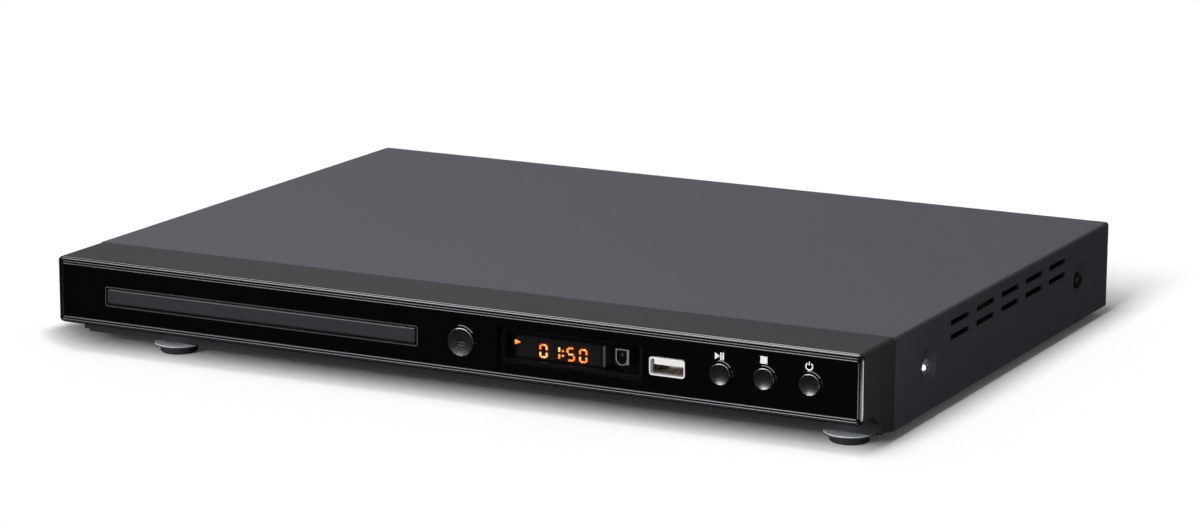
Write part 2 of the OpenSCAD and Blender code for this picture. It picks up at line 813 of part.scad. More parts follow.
module display_digits() {
    zero = [1, 1, 1, 1, 1, 1, 0];
    one = [0, 1, 1, 0, 0, 0, 0];
    five = [1, 0, 1, 1, 0, 1, 1];
    w = 3.05;
    h = 4.85;
    digit_z = z_top - 13.85;
    first_x = tray_x + 112.7;
    color([1, 0.6, 0.2]) in_case() {
        upright(digit_y, 0.5) translate([first_x, digit_z]) {
            figure(w, h, zero);
            translate([4.85, 0]) figure(w, h, one);
            for (z = [-0.85, 0.85]) translate([7.55, z]) square(0.6, center = true);
            translate([10.6, 0]) figure(w, h, five);
            translate([15.4, 0]) figure(w, h, zero);
            translate([-11.05, 1.2]) polygon([[0, 0], [2.1, 0.82], [0, 1.64]]);
        }
        // backing film that carries the segments
        upright(digit_y + 0.5, 0.4) translate([display_x, z_top - 13]) square([32.8, 7.4], center = true);
    }
}

module ir_receiver() {
    x = tray_x + 142.7;
    z = z_top - 12.7;
    color([0.55, 0.54, 0.52]) in_case() translate([x, 0, z]) {
        difference() {
            upright(digit_y + 0.6, board_y - digit_y - 0.6) square([5.6, 5.8], center = true);
            upright(digit_y, 1.6) {
                translate([-1.9, -0.6]) square([3.8, 3.1]);
                translate([0, -0.6]) circle(r = 1.9);
            }
        }
        // dome of the detector in the cage
        intersection() {
            rod_y(digit_y + 0.9, 2, 1.7);
            translate([0, digit_y + 2.9, 0]) sphere(r = 2);
        }
    }
}

module usb_shell() {
    color([0.8, 0.8, 0.82]) in_case()
        translate([usb_x, 0, usb_z])
            difference() {
                upright(panel_y, board_y - panel_y) round_rect(usb_out[0], usb_out[1], 1);
                upright(panel_y - 1, board_y - panel_y - 0.5) round_rect(usb_in[0], usb_in[1], 0.5);
            }
}

module usb_tongue() {
    color([0.92, 0.92, 0.9]) in_case()
        translate([usb_x, 0, usb_z]) {
            upright(panel_y + 1.6, board_y - panel_y - 3.1) translate([-5.55, 0.35]) square([11.1, 1.95]);
            // contact springs under the tongue
            for (i = [-1.5:1.5])
                upright(panel_y + 2.2, 7.5) translate([i * 2.3 - 0.5, 0.15]) square([1, 0.25]);
        }
}

// ---------------------------------------------------------------- tray and loader

module tray() {
    hollow_top = tray_top - tray_skin;
    channel_top = well_z - small_step - well_skin;
    teeth = 49;
    color([0.12, 0.12, 0.13]) in_loader()
        difference() {
            union() {
                difference() {
                    translate([-tray_w / 2, tray_y, tray_z]) cube([tray_w, tray_l, tray_t]);
                    // hollow underside, open downward
                    difference() {
                        translate([rack_wall - tray_w / 2, tray_y + 1.6, tray_z - 1])
                            cube([tray_w - 2 * rack_wall, tray_l - 3.2, hollow_top - tray_z + 1]);
                        translate([0, disc_y, channel_top]) cylinder(r = well_r + 1, h = 9, $fn = 96);
                        translate([0, disc_y, tray_z]) cylinder(r = slot_r + tray_skin, h = 9);
                        translate([-slot_r - tray_skin, disc_y, tray_z])
                            cube([2 * (slot_r + tray_skin), tray_l, 9]);
                    }
                }
                // rack on the right wall
                translate([rack_x, gear_y - 1.5 * PI * rack_m, tray_z])
                    linear_extrude(1.5) rack_outline(rack_m, teeth, slack);
                for (side = [-1, 1])
                    translate([side > 0 ? tray_w / 2 - 0.1 : -tray_w / 2 - rail_w + 0.1, tray_y + 16, rail_z])
                        cube([rail_w, tray_l - 16, rail_t]);
            }
            translate([0, disc_y, well_z]) cylinder(r = well_r, h = 9, $fn = 96);
            translate([0, disc_y, well_z - small_step]) cylinder(r = 40.5, h = 9, $fn = 96);
            translate([0, disc_y, tray_z - 1]) cylinder(r = slot_r, h = 12);
            translate([-slot_r, disc_y, tray_z - 1]) cube([2 * slot_r, tray_l, 12]);
        }
}

module tray_door() {
    round_r = 0.6;
    color([0.2, 0.2, 0.22]) in_loader()
        difference() {
            upright(door_y, door_t) translate([0, tray_mid]) square([door_w, door_h], center = true);
            translate([0, door_y, tray_mid]) frame_sweep(door_w, door_h, round_r + 0.1) edge_cut(round_r);
            for (x = [-1, 1], z = [-1, 1]) translate([x * door_w / 2, 0, tray_mid + z * door_h / 2])
                rotate([0, 45, 0]) translate([-0.3, door_y - 1, -0.3]) cube([0.6, door_t + 2, 0.6]);
        }
}

module loader_chassis() {
    color([0.22, 0.22, 0.24]) in_loader()
        difference() {
            union() {
                translate([-guide_out, loader_y, floor_z]) cube([2 * guide_out, loader_l, floor_t]);
                for (side = [0, 1]) mirror([side, 0, 0])
                    translate([guide_in, loader_y, floor_z])
                        cube([guide_out - guide_in, loader_l, guide_top - floor_z]);
                translate([-guide_out, loader_back - 2, floor_z])
                    cube([2 * guide_out, 2, guide_top - 2 - floor_z]);
                // seats of the clamp bridge
                for (side = [0, 1]) mirror([side, 0, 0])
                    translate([guide_in, bridge_y[0] + 1, guide_top - 0.1])
                        cube([guide_out - guide_in, 26, bridge_z - guide_top + 0.1]);
                for (x = [-1, 1], y = leg_y)
                    translate([x * leg_x, y, pan_top]) cylinder(r = 4, h = floor_z - pan_top + 0.1);
                // posts of the two gears
                translate([gear_x, gear_y, floor_top - 0.1]) cylinder(r = post_r, h = 7);
                translate([pulley_x, gear_y, floor_top - 0.1]) cylinder(r = post_r, h = 5.4);
                // wall, shelf and hooks that guide the cam slider
                translate([-31, slider_wall - 1.2, slider_z[0] - gap - shelf_t])
                    cube([65, 1.2, slider_z[1] + gap + 0.6 - slider_z[0] + gap + shelf_t]);
                translate([-31, slider_wall - 1.2, slider_z[0] - gap - shelf_t])
                    cube([65, slider_t + 2 * gap + 1.2, shelf_t]);
                for (x = [-22, 16]) translate([x, slider_wall - 0.1, slider_z[1] + gap]) {
                    cube([6, slider_t + 2 * gap + 0.8, 0.6]);
                    translate([0, slider_t + 2 * gap + 0.1, -1.2]) cube([6, 0.7, 1.3]);
                }
                // bearings of the deck's pivot
                for (side = [0, 1]) mirror([side, 0, 0])
                    translate([bearing_in, pivot_y - 4.5, floor_z]) cube([10, 9, tray_z - 0.5 - floor_z]);
            }
            // rail grooves
            for (side = [0, 1]) mirror([side, 0, 0])
                translate([guide_in - 1, loader_y - 1, rail_z - gap])
                    cube([rail_w + 1, loader_l - 1, rail_t + 2 * gap]);
            // opening for the deck, with the bearings left standing
            difference() {
                translate([-deck_open, slider_wall, floor_z - 1])
                    cube([2 * deck_open, 162 - slider_wall, floor_t + 2]);
                for (side = [0, 1]) mirror([side, 0, 0])
                    translate([bearing_in, pivot_y - 4.5, floor_z - 2]) cube([20, 9, 9]);
                translate([-31, slider_wall - 1, floor_z - 2]) cube([65, 1, 9]);
            }
            translate([0, pivot_y, pivot_z]) rod_x_axis(-60, 120, pivot_r + 0.03);
            for (x = [-1, 1], y = leg_y) translate([x * leg_x, y, 0]) cylinder(r = 1.6, h = 30);
            translate([motor_x, motor_y, floor_z - 1]) cylinder(r = 3, h = 5);
            for (side = [-1, 1], y = bridge_screw_y)
                translate([side * (guide_in + guide_out) / 2, y, bridge_z - 4]) cylinder(r = 1.05, h = 5);
        }
}

module loader_screws() {
    color([0.75, 0.75, 0.77]) in_loader()
        for (x = [-1, 1], y = leg_y)
            translate([x * leg_x, y, floor_top]) screw(1.5, floor_top - z_body - 0.1, 2.9, 2);
}

module clamp_bridge() {
    color([0.7, 0.71, 0.73]) in_loader()
        difference() {
            union() {
                translate([-guide_out, bridge_y[0], bridge_z])
                    cube([2 * guide_out, bridge_y[1] - bridge_y[0], bridge_t]);
                translate([0, disc_y, bridge_z]) cylinder(r = 22, h = bridge_t);
                // raised ring that stiffens the plate
                difference() {
                    translate([0, disc_y, bridge_z]) cylinder(r = 18, h = bridge_t + 0.8);
                    translate([0, disc_y, bridge_z + bridge_t - 0.01]) cylinder(r = 16.5, h = 3);
                }
                for (side = [-1, 1]) translate([side * 40 - 14, disc_y - 4, bridge_z])
                    cube([28, 8, bridge_t + 0.8]);
            }
            translate([0, disc_y, bridge_z - 1]) cylinder(r = 8.6, h = 5);
            for (side = [-1, 1], y = bridge_screw_y)
                translate([side * (guide_in + guide_out) / 2, y, bridge_z - 1]) cylinder(r = 1.15, h = 5);
        }
}

module bridge_screws() {
    color([0.75, 0.75, 0.77]) in_loader()
        for (side = [-1, 1], y = bridge_screw_y)
            translate([side * (guide_in + guide_out) / 2, y, bridge_z + bridge_t]) screw(1, 3.6, 2, 1.3);
}

module clamper() {
    color([0.85, 0.85, 0.86]) in_loader() translate([0, disc_y, 0])
        difference() {
            union() {
                translate([0, 0, bridge_z - 1.6]) cylinder(r = 14, h = 1.3);
                translate([0, 0, bridge_z - 0.4]) cylinder(r = 7.8, h = 2);
                translate([0, 0, bridge_z + bridge_t + gap]) cylinder(r = 11, h = 1.2);
                translate([0, 0, bridge_z + bridge_t + gap + 1.2]) cylinder(r1 = 11, r2 = 9, h = 0.5);
            }
            translate([0, 0, bridge_z - 2]) cylinder(r = 8.2, h = 1.2);
            translate([0, 0, bridge_z - 1]) cylinder(r = 6, h = 1.1);
            // index notches in the rim
            for (a = [0:60:300]) rotate(a) translate([9.6, 0, bridge_z + bridge_t + gap + 0.6])
                cylinder(r = 0.9, h = 3, $fn = 24);
        }
}

module loading_motor() {
    color([0.72, 0.73, 0.75]) in_loader() translate([motor_x, motor_y, 0])
        difference() {
            union() {
                translate([0, 0, floor_z - 7.3]) cylinder(r = motor_r, h = 7.3);
                translate([-motor_r - 1.4, -2, floor_z - 5]) cube([3, 4, 2.4]);
            }
            translate([0, 0, floor_z - 6]) cylinder(r = 1 + run, h = 7);
        }
}

belt_z = floor_top + 0.8;
belt_w = 1.2;
motor_groove = 3;
pulley_groove = 8.8;

module motor_pulley() {
    color([0.9, 0.9, 0.88]) in_loader() translate([motor_x, motor_y, 0]) {
        translate([0, 0, floor_z - 5]) cylinder(r = 1, h = belt_z - floor_z + 5);
        translate([0, 0, floor_top + gap]) cylinder(r = 4.2, h = 0.5);
        translate([0, 0, floor_top + gap]) cylinder(r = motor_groove, h = 2.3);
        translate([0, 0, floor_top + gap + 1.8]) cylinder(r = 4.2, h = 0.5);
        // index nib on the rim
        translate([3.2, -0.3, floor_top + gap + 2.2]) cube([0.9, 0.6, 0.3]);
    }
}

// Outline of a band pulled taut round two circles
module taut(p, rp, q, rq) {
    d = norm(q - p);
    dir = atan2(q[1] - p[1], q[0] - p[0]);
    a = acos((rp - rq) / d);
    translate(p) circle(r = rp);
    translate(q) circle(r = rq);
    polygon([
        p + rp * [cos(dir + a), sin(dir + a)], p + rp * [cos(dir - a), sin(dir - a)],
        q + rq * [cos(dir - a), sin(dir - a)], q + rq * [cos(dir + a), sin(dir + a)]
    ]);
}

module drive_belt() {
    p = [motor_x, motor_y];
    q = [pulley_x, gear_y];
    slip = 0.08;
    color([0.05, 0.05, 0.05]) in_loader()
        translate([0, 0, belt_z + 0.05]) linear_extrude(belt_w)
            difference() {
                taut(p, motor_groove + slip + belt_w, q, pulley_groove + slip + belt_w);
                taut(p, motor_groove + slip, q, pulley_groove + slip);
            }
}

module pulley_gear() {
    z = floor_top + gap;
    color([0.92, 0.92, 0.88]) in_loader() translate([pulley_x, gear_y, 0])
        difference() {
            union() {
                translate([0, 0, z]) cylinder(r = pulley_groove + belt_w, h = 0.5);
                translate([0, 0, z]) cylinder(r = pulley_groove, h = 2.3);
                translate([0, 0, z + 1.8]) cylinder(r = pulley_groove + belt_w, h = 0.5);
                rotate(180 / pulley_teeth) gear(pulley_teeth, wheel_m, z + 2.2, 2.6);
            }
            translate([0, 0, z - 1]) cylinder(r = post_r + run, h = 9);
            for (a = [0:60:300]) rotate(a) translate([6.4, 0, z - 1]) cylinder(r = 1.1, h = 9);
        }
}

module tray_gear() {
    z = floor_top + gap;
    wheel_z = z + 2.3 + gap;
    color([0.92, 0.92, 0.88]) in_loader() translate([gear_x, gear_y, 0])
        difference() {
            union() {
                translate([0, 0, z]) cylinder(r = 3, h = wheel_z - z + 0.1);
                gear(wheel_teeth, wheel_m, wheel_z, 1.9);
                gear(pinion_teeth, rack_m, wheel_z + 1.8, tray_z + 1.45 - wheel_z - 1.8);
            }
            translate([0, 0, z - 1]) cylinder(r = post_r + run, h = 12);
        }
}

module cam_slider() {
    slot_r = 1.5 + 0.22;
    slope = atan2(cam_drop, cam_travel);
    z0 = cam_pin_z;
    color([0.85, 0.84, 0.8]) in_loader()
        difference() {
            union() {
                upright(slider_y, slider_t)
                    translate([-30, slider_z[0]]) square([38, slider_z[1] - slider_z[0]]);
                // teeth that the tray gear picks up when the tray is home
                upright(slider_y, slider_t)
                    for (i = [0:1]) translate([-31.6 - i * 2.5, slider_z[0]]) square([1.2, 3]);
                upright(slider_y, slider_t) translate([-36, slider_z[0]]) square([7, 1.4]);
            }
            // slanted slot for the deck's pin
            upright(slider_y - 1, slider_t + 2) {
                translate([0, z0]) circle(r = slot_r);
                translate([-cam_travel, z0 - cam_drop]) circle(r = slot_r);
                translate([-cam_travel, z0 - cam_drop]) rotate(slope)
                    translate([0, -slot_r]) square([norm([cam_travel, cam_drop]), 2 * slot_r]);
            }
        }
}

// ---------------------------------------------------------------- deck

module deck_frame() {
    t = deck_z[1] - deck_z[0];
    color([0.16, 0.16, 0.18]) in_loader()
        difference() {
            union() {
                translate([-deck_w, deck_y[0], deck_z[0]]) cube([2 * deck_w, deck_y[1] - deck_y[0], t]);
                // lug of the sled motor
                translate([sled_motor_x - 8, sled_motor_y - 8, deck_z[0]]) cube([15, 16, t]);
                // barrel of the pivot and the web that carries it
                translate([0, pivot_y, pivot_z]) rod_x_axis(-deck_w, 2 * deck_w, barrel_r);
                translate([-deck_w, deck_y[1] - 1, deck_z[0]])
                    cube([2 * deck_w, pivot_y - deck_y[1] + 1, t - 0.2]);
                // pin that rides in the cam slider
                translate([0, 0, cam_pin_z]) rod_y(slider_wall + 0.5, deck_y[0] - slider_wall, 1.5);
                // post of the sled gear
                translate([sled_gear_x, sled_gear_y, deck_z[0] - 4.9]) cylinder(r = 1, h = 5);
            }
            translate([0, disc_y, deck_z[0] - 1]) cylinder(r = 11.2, h = t + 2);
            difference() {
                translate([-sled_open, sled_span[0], deck_z[0] - 1])
                    cube([2 * sled_open, sled_span[1] - sled_span[0], t + 2]);
                translate([sled_gear_x, sled_gear_y, deck_z[0] - 2]) cylinder(r = 2.4, h = t + 4);
            }
            for (side = [-1, 1]) translate([side * rod_x, 0, rod_z])
                rod_y(sled_span[0] - 4, sled_span[1] - sled_span[0] + 8, rod_r + 0.02);
            for (side = [0, 1]) mirror([side, 0, 0])
                translate([0, pivot_y, pivot_z]) rod_x_axis(deck_w - 5, 6, pivot_r + run);
            translate([sled_motor_x, sled_motor_y, deck_z[0] - 1])
                cylinder(r = sled_motor_r + 0.05, h = t + 2);
        }
}

module deck_pins() {
    color([0.75, 0.75, 0.77]) in_loader()
        for (side = [0, 1]) mirror([side, 0, 0])
            translate([0, pivot_y, pivot_z]) rod_x_axis(deck_w - 4.5, 15.5, pivot_r);
}

module spindle_motor() {
    color([0.7, 0.71, 0.73]) in_loader() translate([0, disc_y, 0])
        difference() {
            union() {
                translate([-15, -13, deck_z[0] - 1]) cube([30, 26, 1]);
                translate([0, 0, deck_z[0] - 0.1]) cylinder(r = 10.5, h = 4.1);
                translate([0, 0, deck_z[0] + 3.9]) cylinder(r = 4, h = 1);
            }
            translate([0, 0, deck_z[0]]) cylinder(r = 1 + run, h = 9);
        }
}

// Height of the turntable's seat, above the tray's well
seat_z = well_z + 1.2;

module turntable() {
    color([0.14, 0.14, 0.15]) in_loader() translate([0, disc_y, 0])
        difference() {
            union() {
                translate([0, 0, deck_z[0] + 0.3]) cylinder(r = 1, h = 6);
                translate([0, 0, deck_z[0] + 5.4]) cylinder(r = 3.4, h = 1);
                translate([0, 0, seat_z - 3.3]) cylinder(r = turntable_r, h = 2.8);
                translate([0, 0, seat_z - 0.6]) cylinder(r = 7.45, h = 1.2);
                translate([0, 0, seat_z + 0.6]) cylinder(r1 = 7.45, r2 = 6.2, h = 1.2);
            }
            // three ball springs' slots in the hub
            for (a = [0:120:240]) rotate(a) translate([4.4, -0.6, seat_z + 0.9]) cube([4, 1.2, 3]);
        }
}

module turntable_pad() {
    color([0.1, 0.1, 0.1]) in_loader() translate([0, disc_y, seat_z - 0.5])
        difference() {
            cylinder(r = turntable_r - 0.5, h = 0.5);
            translate([0, 0, -1]) cylinder(r = 9.8, h = 3);
        }
}

module guide_rods() {
    color([0.8, 0.8, 0.82]) in_loader()
        for (side = [-1, 1]) translate([side * rod_x, 0, rod_z])
            rod_y(sled_span[0] - 3.9, sled_span[1] - sled_span[0] + 7.8, rod_r);
}

module pickup_sled() {
    z = deck_z[0] - 2.7;
    reach = sled_travel + 6;
    rack_y = sled_y + sled_l - reach;
    count = floor(reach / (PI * sled_rack_m));
    mesh = sled_gear_y - PI * sled_rack_m * (floor((sled_gear_y - rack_y) / (PI * sled_rack_m)) - 0.5);
    color([0.18, 0.18, 0.2]) in_loader()
        difference() {
            union() {
                translate([-19, sled_y, z]) cube([38, sled_l, 6.4]);
                for (side = [-1, 1]) translate([side * rod_x, 0, rod_z])
                    rod_y(sled_y, sled_l, rod_r + 1.1);
                for (side = [-1, 1]) translate([side * 20 - 2.4, sled_y, rod_z - 1.2])
                    cube([4.8, sled_l, 2.4]);
                // rack, with its bar running forward below the spindle motor
                translate([18, rack_y, z]) cube([sled_rack_x - dedendum * sled_rack_m - 18, reach, 1.4]);
                translate([sled_rack_x, mesh, z]) mirror([1, 0, 0])
                    linear_extrude(1.4) rack_outline(sled_rack_m, count, sled_slack);
            }
            for (side = [-1, 1]) translate([side * rod_x, 0, rod_z])
                rod_y(sled_y - 1, sled_l + 2, rod_r + run);
            // wells in the moulding
            translate([-16, lens_y + 8, z + 1.5]) cube([12, 6, 9]);
            translate([4, lens_y + 8, z + 1.5]) cube([12, 6, 9]);
        }
}

module lens_holder() {
    z = deck_z[0] - 2.7 + 6.4;
    color([0.08, 0.08, 0.09]) in_loader() translate([0, lens_y, z])
        difference() {
            union() {
                translate([-9, -6, 0]) cube([18, 12, 1.2]);
                cylinder(r = 5.4, h = 2.6);
            }
            translate([0, 0, 1.6]) cylinder(r = 3.6, h = 3);
        }
}

module objective_lens() {
    z = deck_z[0] - 2.7 + 6.4 + 1.6;
    color([0.6, 0.75, 0.9, 0.5]) in_loader() translate([0, lens_y, z])
        intersection() {
            cylinder(r = 3.55, h = 2.2);
            translate([0, 0, -3.2]) sphere(r = 5, $fn = 64);
        }
}

module sled_gear() {
    z = deck_z[0] - 4.8;
    color([0.92, 0.92, 0.88]) in_loader() translate([sled_gear_x, sled_gear_y, 0])
        difference() {
            union() {
                gear(sled_wheel_teeth, sled_wheel_m, z, 1.6, sled_slack);
                rotate(180) gear(sled_pinion_teeth, sled_rack_m, z + 1.5, 2.2, sled_slack);
            }
            translate([0, 0, z - 1]) cylinder(r = 1 + run, h = 9);
        }
}

module sled_motor() {
    color([0.72, 0.73, 0.75]) in_loader() translate([sled_motor_x, sled_motor_y, 0])
        difference() {
            union() {
                translate([0, 0, deck_z[0] - 1.8]) cylinder(r = sled_motor_r, h = 5.8);
                translate([0, 0, deck_z[1]]) cylinder(r = 2, h = 0.9);
            }
            translate([0, 0, deck_z[0] - 3]) cylinder(r = 0.75 + run, h = 5);
        }
}

module sled_pinion() {
    z = deck_z[0] - 4.8;
    turn = sled_motor_a * (1 + sled_wheel_teeth / sled_motor_teeth) + 180 + 180 / sled_motor_teeth;
    color([0.85, 0.7, 0.4]) in_loader() translate([sled_motor_x, sled_motor_y, 0]) {
        rotate(turn) gear(sled_motor_teeth, sled_wheel_m, z, 1.8, sled_slack);
        translate([0, 0, z]) cylinder(r = 0.75, h = 6);
    }
}

// ---------------------------------------------------------------- boards

module main_board() {
    color([0.1, 0.3, 0.15]) in_case()
        difference() {
            translate([main_x[0], main_y[0], pcb_z])
                cube([main_x[1] - main_x[0], main_y[1] - main_y[0], 1.6]);
            for (i = [0:3]) translate([board_post_xy[i][0], board_post_xy[i][1], pcb_z - 1])
                cylinder(r = 1.5, h = 4);
        }
}

// A chip or connector: x, y, width, depth, height, on the main board
main_parts = [
    [24, 40, 22, 22, 1.6], [56, 44, 12, 8, 1.2], [56, 58, 12, 8, 1.2], [14, 74, 8, 10, 1.5],
    [8, 6, 26, 5, 5.5], [42, 6, 18, 5, 5.5], [10, 22, 5, 5, 6], [64, 24, 5, 5, 6]
];

module main_chips() {
    color([0.07, 0.07, 0.08]) in_case()
        for (p = main_parts)
            translate([main_x[0] + p[0], main_y[0] + p[1], pcb_z + 1.6]) cube([p[2], p[3], p[4]]);
}

module av_sockets() {
    body_y = rear_front - 12;
    color([0.12, 0.12, 0.13]) in_case()
        for (i = [0:jack_count - 1]) translate([jack_x + i * jack_pitch, 0, jack_z]) {
            difference() {
                union() {
                    upright(body_y, 12) translate([-6.5, pcb_z + 1.6 - jack_z])
                        square([13, jack_z - pcb_z - 1.6 + 6]);
                    rod_y(rear_front - 0.1, case_d + jack_out - rear_front + 0.1, jack_r);
                }
                rod_y(rear_front - 8, case_d + jack_out - rear_front + 9, 1.65);
            }
        }
}

module hdmi_socket() {
    color([0.75, 0.75, 0.77]) in_case() translate([hdmi_x, 0, pcb_z + 1.6])
        difference() {
            translate([-7.5, rear_front - 11, 0]) cube([15, rear_back - rear_front + 11, 5.8]);
            difference() {
                translate([-6.9, rear_front - 9, 0.6]) cube([13.8, 20, 4.6]);
                translate([-5.5, rear_front - 10, 2.2]) cube([11, 8, 1.4]);
            }
        }
}

module board_screws() {
    color([0.75, 0.75, 0.77]) in_case()
        for (p = board_post_xy) translate([p[0], p[1], pcb_z + 1.6]) screw(1.2, 6, 2.5, 1.8);
}

module power_board() {
    color([0.55, 0.42, 0.2]) in_case()
        difference() {
            translate([power_x[0], power_y[0], pcb_z])
                cube([power_x[1] - power_x[0], power_y[1] - power_y[0], 1.6]);
            for (i = [4:7]) translate([board_post_xy[i][0], board_post_xy[i][1], pcb_z - 1])
                cylinder(r = 1.5, h = 4);
        }
}

module transformer() {
    color([0.85, 0.75, 0.3]) in_case() translate([power_x[0] + 27, power_y[0] + 52, pcb_z + 1.6]) {
        difference() {
            translate([-12, -10, 0]) cube([24, 20, 3]);
            translate([-9, -7, -1]) cube([18, 14, 1.8]);
        }
        translate([-9, -12, 3]) cube([18, 24, 11]);
        translate([-11, -6, 3]) cube([22, 12, 9]);
        translate([-12, -10, 14]) cube([24, 20, 1.5]);
    }
}

// An upright can capacitor with its crimp groove
module can(r, h) {
    difference() {
        cylinder(r = r, h = h);
        translate([0, 0, 1.2]) difference() {
            cylinder(r = r + 1, h = 0.8);
            translate([0, 0, -1]) cylinder(r = r - 0.4, h = 3);
        }
    }
}

// Capacitors on the power board: x, y, radius, height
cans = [[40, 82, 6.5, 18], [14, 22, 4, 14], [26, 16, 4, 14], [38, 22, 4, 14], [14, 36, 3, 11]];

module capacitors() {
    color([0.15, 0.2, 0.35]) in_case()
        for (c = cans)
            translate([power_x[0] + c[0], power_y[0] + c[1], pcb_z + 1.6]) can(c[2], c[3]);
}

module heat_sink() {
    color([0.7, 0.72, 0.74]) in_case() translate([power_x[0] + 6, power_y[0] + 72, pcb_z + 1.6]) {
        cube([14, 2, 16]);
        for (i = [0:3]) translate([i * 4, 0, 0]) cube([1.2, 9, 16]);
    }
}

// Two-pin mains inlet in the rear panel
module mains_inlet() {
    color([0.08, 0.08, 0.08]) in_case() translate([inlet_x, 0, inlet_z]) {
        difference() {
            union() {
                upright(rear_front - 14, 14.5 + sheet) round_rect(22, 16, 2);
                upright(rear_back, 2) round_rect(27, 20, 2);
            }
            upright(rear_front - 12, 20) {
                translate([-4.3, 0]) circle(r = 4.2);
                translate([4.3, 0]) circle(r = 4.2);
                square([8.6, 6.4], center = true);
            }
        }
        for (side = [-1, 1]) translate([side * 4.3, 0, 0]) rod_y(rear_front - 12.5, 11, 1.15);
    }
}

// Flat cable from the front board back to the main board
module front_ribbon() {
    w = 26;
    t = 0.5;
    x = main_x[0] + 8;
    low = z_body + wall + gap;
    plug_z = pcb_z + 7.1;
    down_y = board_y + board_t;
    up_y = main_y[0] + 8.5;
    color([0.75, 0.75, 0.78]) in_case() translate([x, 0, 0]) {
        // plug on the front board, then down, along the pan, up and into its socket
        translate([0, down_y, tray_z - 1]) cube([w, 4, 4]);
        translate([0, down_y + 4, tray_z]) cube([w, 4 + t, t]);
        translate([0, down_y + 8, low]) cube([w, t, tray_z - low + t]);
        translate([0, down_y + 8, low]) cube([w, main_y[0] - 8 - down_y - 8, t]);
        translate([0, main_y[0] - 8, low]) cube([w, t, plug_z + 5 - low]);
        translate([0, main_y[0] - 8, plug_z + 5]) cube([w, up_y - main_y[0] + 8, t]);
        translate([0, up_y - t, plug_z]) cube([w, t, 5.2]);
    }
}

// ---------------------------------------------------------------- what is drawn

front_housing();
fascia_panel();
display_window();
tray_bezel();
top_cover();
base_pan();
rear_panel();
side_screws();
rear_side_screws();
rear_screws();
foot_flanges();
foot_pads();
front_board();
display_module();
display_digits();
ir_receiver();
tact_switches();
usb_shell();
usb_tongue();
tray();
tray_door();
loader_chassis();
loader_screws();
clamp_bridge();
bridge_screws();
clamper();
loading_motor();
motor_pulley();
drive_belt();
pulley_gear();
tray_gear();
cam_slider();
deck_frame();
deck_pins();
spindle_motor();
turntable();
turntable_pad();
guide_rods();
pickup_sled();
lens_holder();
objective_lens();
sled_gear();
sled_motor();
sled_pinion();
main_board();
main_chips();
av_sockets();
hdmi_socket();
board_screws();
power_board();
transformer();
capacitors();
heat_sink();
mains_inlet();
open_button();
play_button();
stop_button();
power_button();
front_ribbon();
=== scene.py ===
"""Looks of a disc player with a motorised tray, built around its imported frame."""

import json
import math

import bmesh
import bpy
from mathutils import Matrix, Vector


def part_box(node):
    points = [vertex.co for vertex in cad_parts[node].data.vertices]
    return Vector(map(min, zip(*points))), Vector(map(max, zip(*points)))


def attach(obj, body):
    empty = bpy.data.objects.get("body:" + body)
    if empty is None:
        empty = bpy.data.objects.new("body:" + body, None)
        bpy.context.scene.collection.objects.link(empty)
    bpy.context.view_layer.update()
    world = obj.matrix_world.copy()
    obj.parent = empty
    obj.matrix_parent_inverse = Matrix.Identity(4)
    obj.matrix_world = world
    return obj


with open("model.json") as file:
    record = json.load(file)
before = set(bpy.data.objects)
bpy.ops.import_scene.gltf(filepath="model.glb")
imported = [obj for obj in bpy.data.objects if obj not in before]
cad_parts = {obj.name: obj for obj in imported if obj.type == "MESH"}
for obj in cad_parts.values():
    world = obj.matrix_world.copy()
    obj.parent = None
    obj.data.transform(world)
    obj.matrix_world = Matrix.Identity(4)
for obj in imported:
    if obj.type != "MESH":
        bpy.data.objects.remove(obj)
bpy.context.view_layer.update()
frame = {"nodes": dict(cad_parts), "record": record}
NODES = frame["nodes"]
BUTTONS = ("open_button", "play_button", "stop_button", "power_button")

MM = 0.001
FRONT_Y = round(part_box("front_housing")[0][1] / MM, 2)  # the front face in the row's frame

CAMERA_AT = (0.6348247, -1.2573612, 0.3396598)
CAMERA_YAW, CAMERA_PITCH, CAMERA_ROLL = 0.4676, 0.2191, 0.0058
CAMERA_LENS = 115.0  # millimetres, on a sensor 36 mm wide

FLOOR_SHOWN = 0.98  # how pale the floor is to the camera,
FLOOR_BOUNCE = 0.16  # in the light that it sends back to the object
FLOOR_GLOSS = 0.05  # and in the object's gloss
FLOOR_LIFT = 0.03  # own light of the floor, so that it shows white
SKY_SHOWN = 1.0  # strength of the background to the camera,
SKY_GLOSS = 0.12  # in gloss and through glass
SKY_FILL = 0.2  # and as fill light
COOL = (0.95, 0.93, 1.0)  # colour of the soft boxes

PANEL_FACE = 0.6  # depth of the gloss panel's face
INK = 0.04  # thickness of the printed marks
INK_SUNK = 0.02  # how far they go into the panel
INK_EDGE = 0.01  # bevel of their front edge
MARKS = {  # middle of each mark, from the middle of its button
    "play": (-0.35, 6.35),
    "stop": (-0.05, 6.6),
    "power": (-0.2, 6.35),
}

RECEIVER_Z = 22.7  # middle of the round end of the receiver's opening
JACK_COUNT, JACK_PITCH, JACK_Z = 4, 14.0, 15.4  # phono sockets
JACK_EDGE = -27.0  # half a pitch left of the first one
FLAG_Z = 11.3  # height of the flag that shades the floor by the left end


def setback(y):
    """Millimetres behind the front face to metres on the row's Y axis."""
    return (y + FRONT_Y) * MM


def point(x, y, z):
    """Case millimetres (y back from the front face) to metres in the row's frame."""
    return Vector((x * MM, setback(y), z * MM))


def middle(node):
    """X and Z of the middle of a node, in millimetres."""
    low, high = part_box(node)
    return [round((low[i] + high[i]) / 2 / MM, 2) for i in (0, 2)]


# ------------------------------------------------------------------ camera


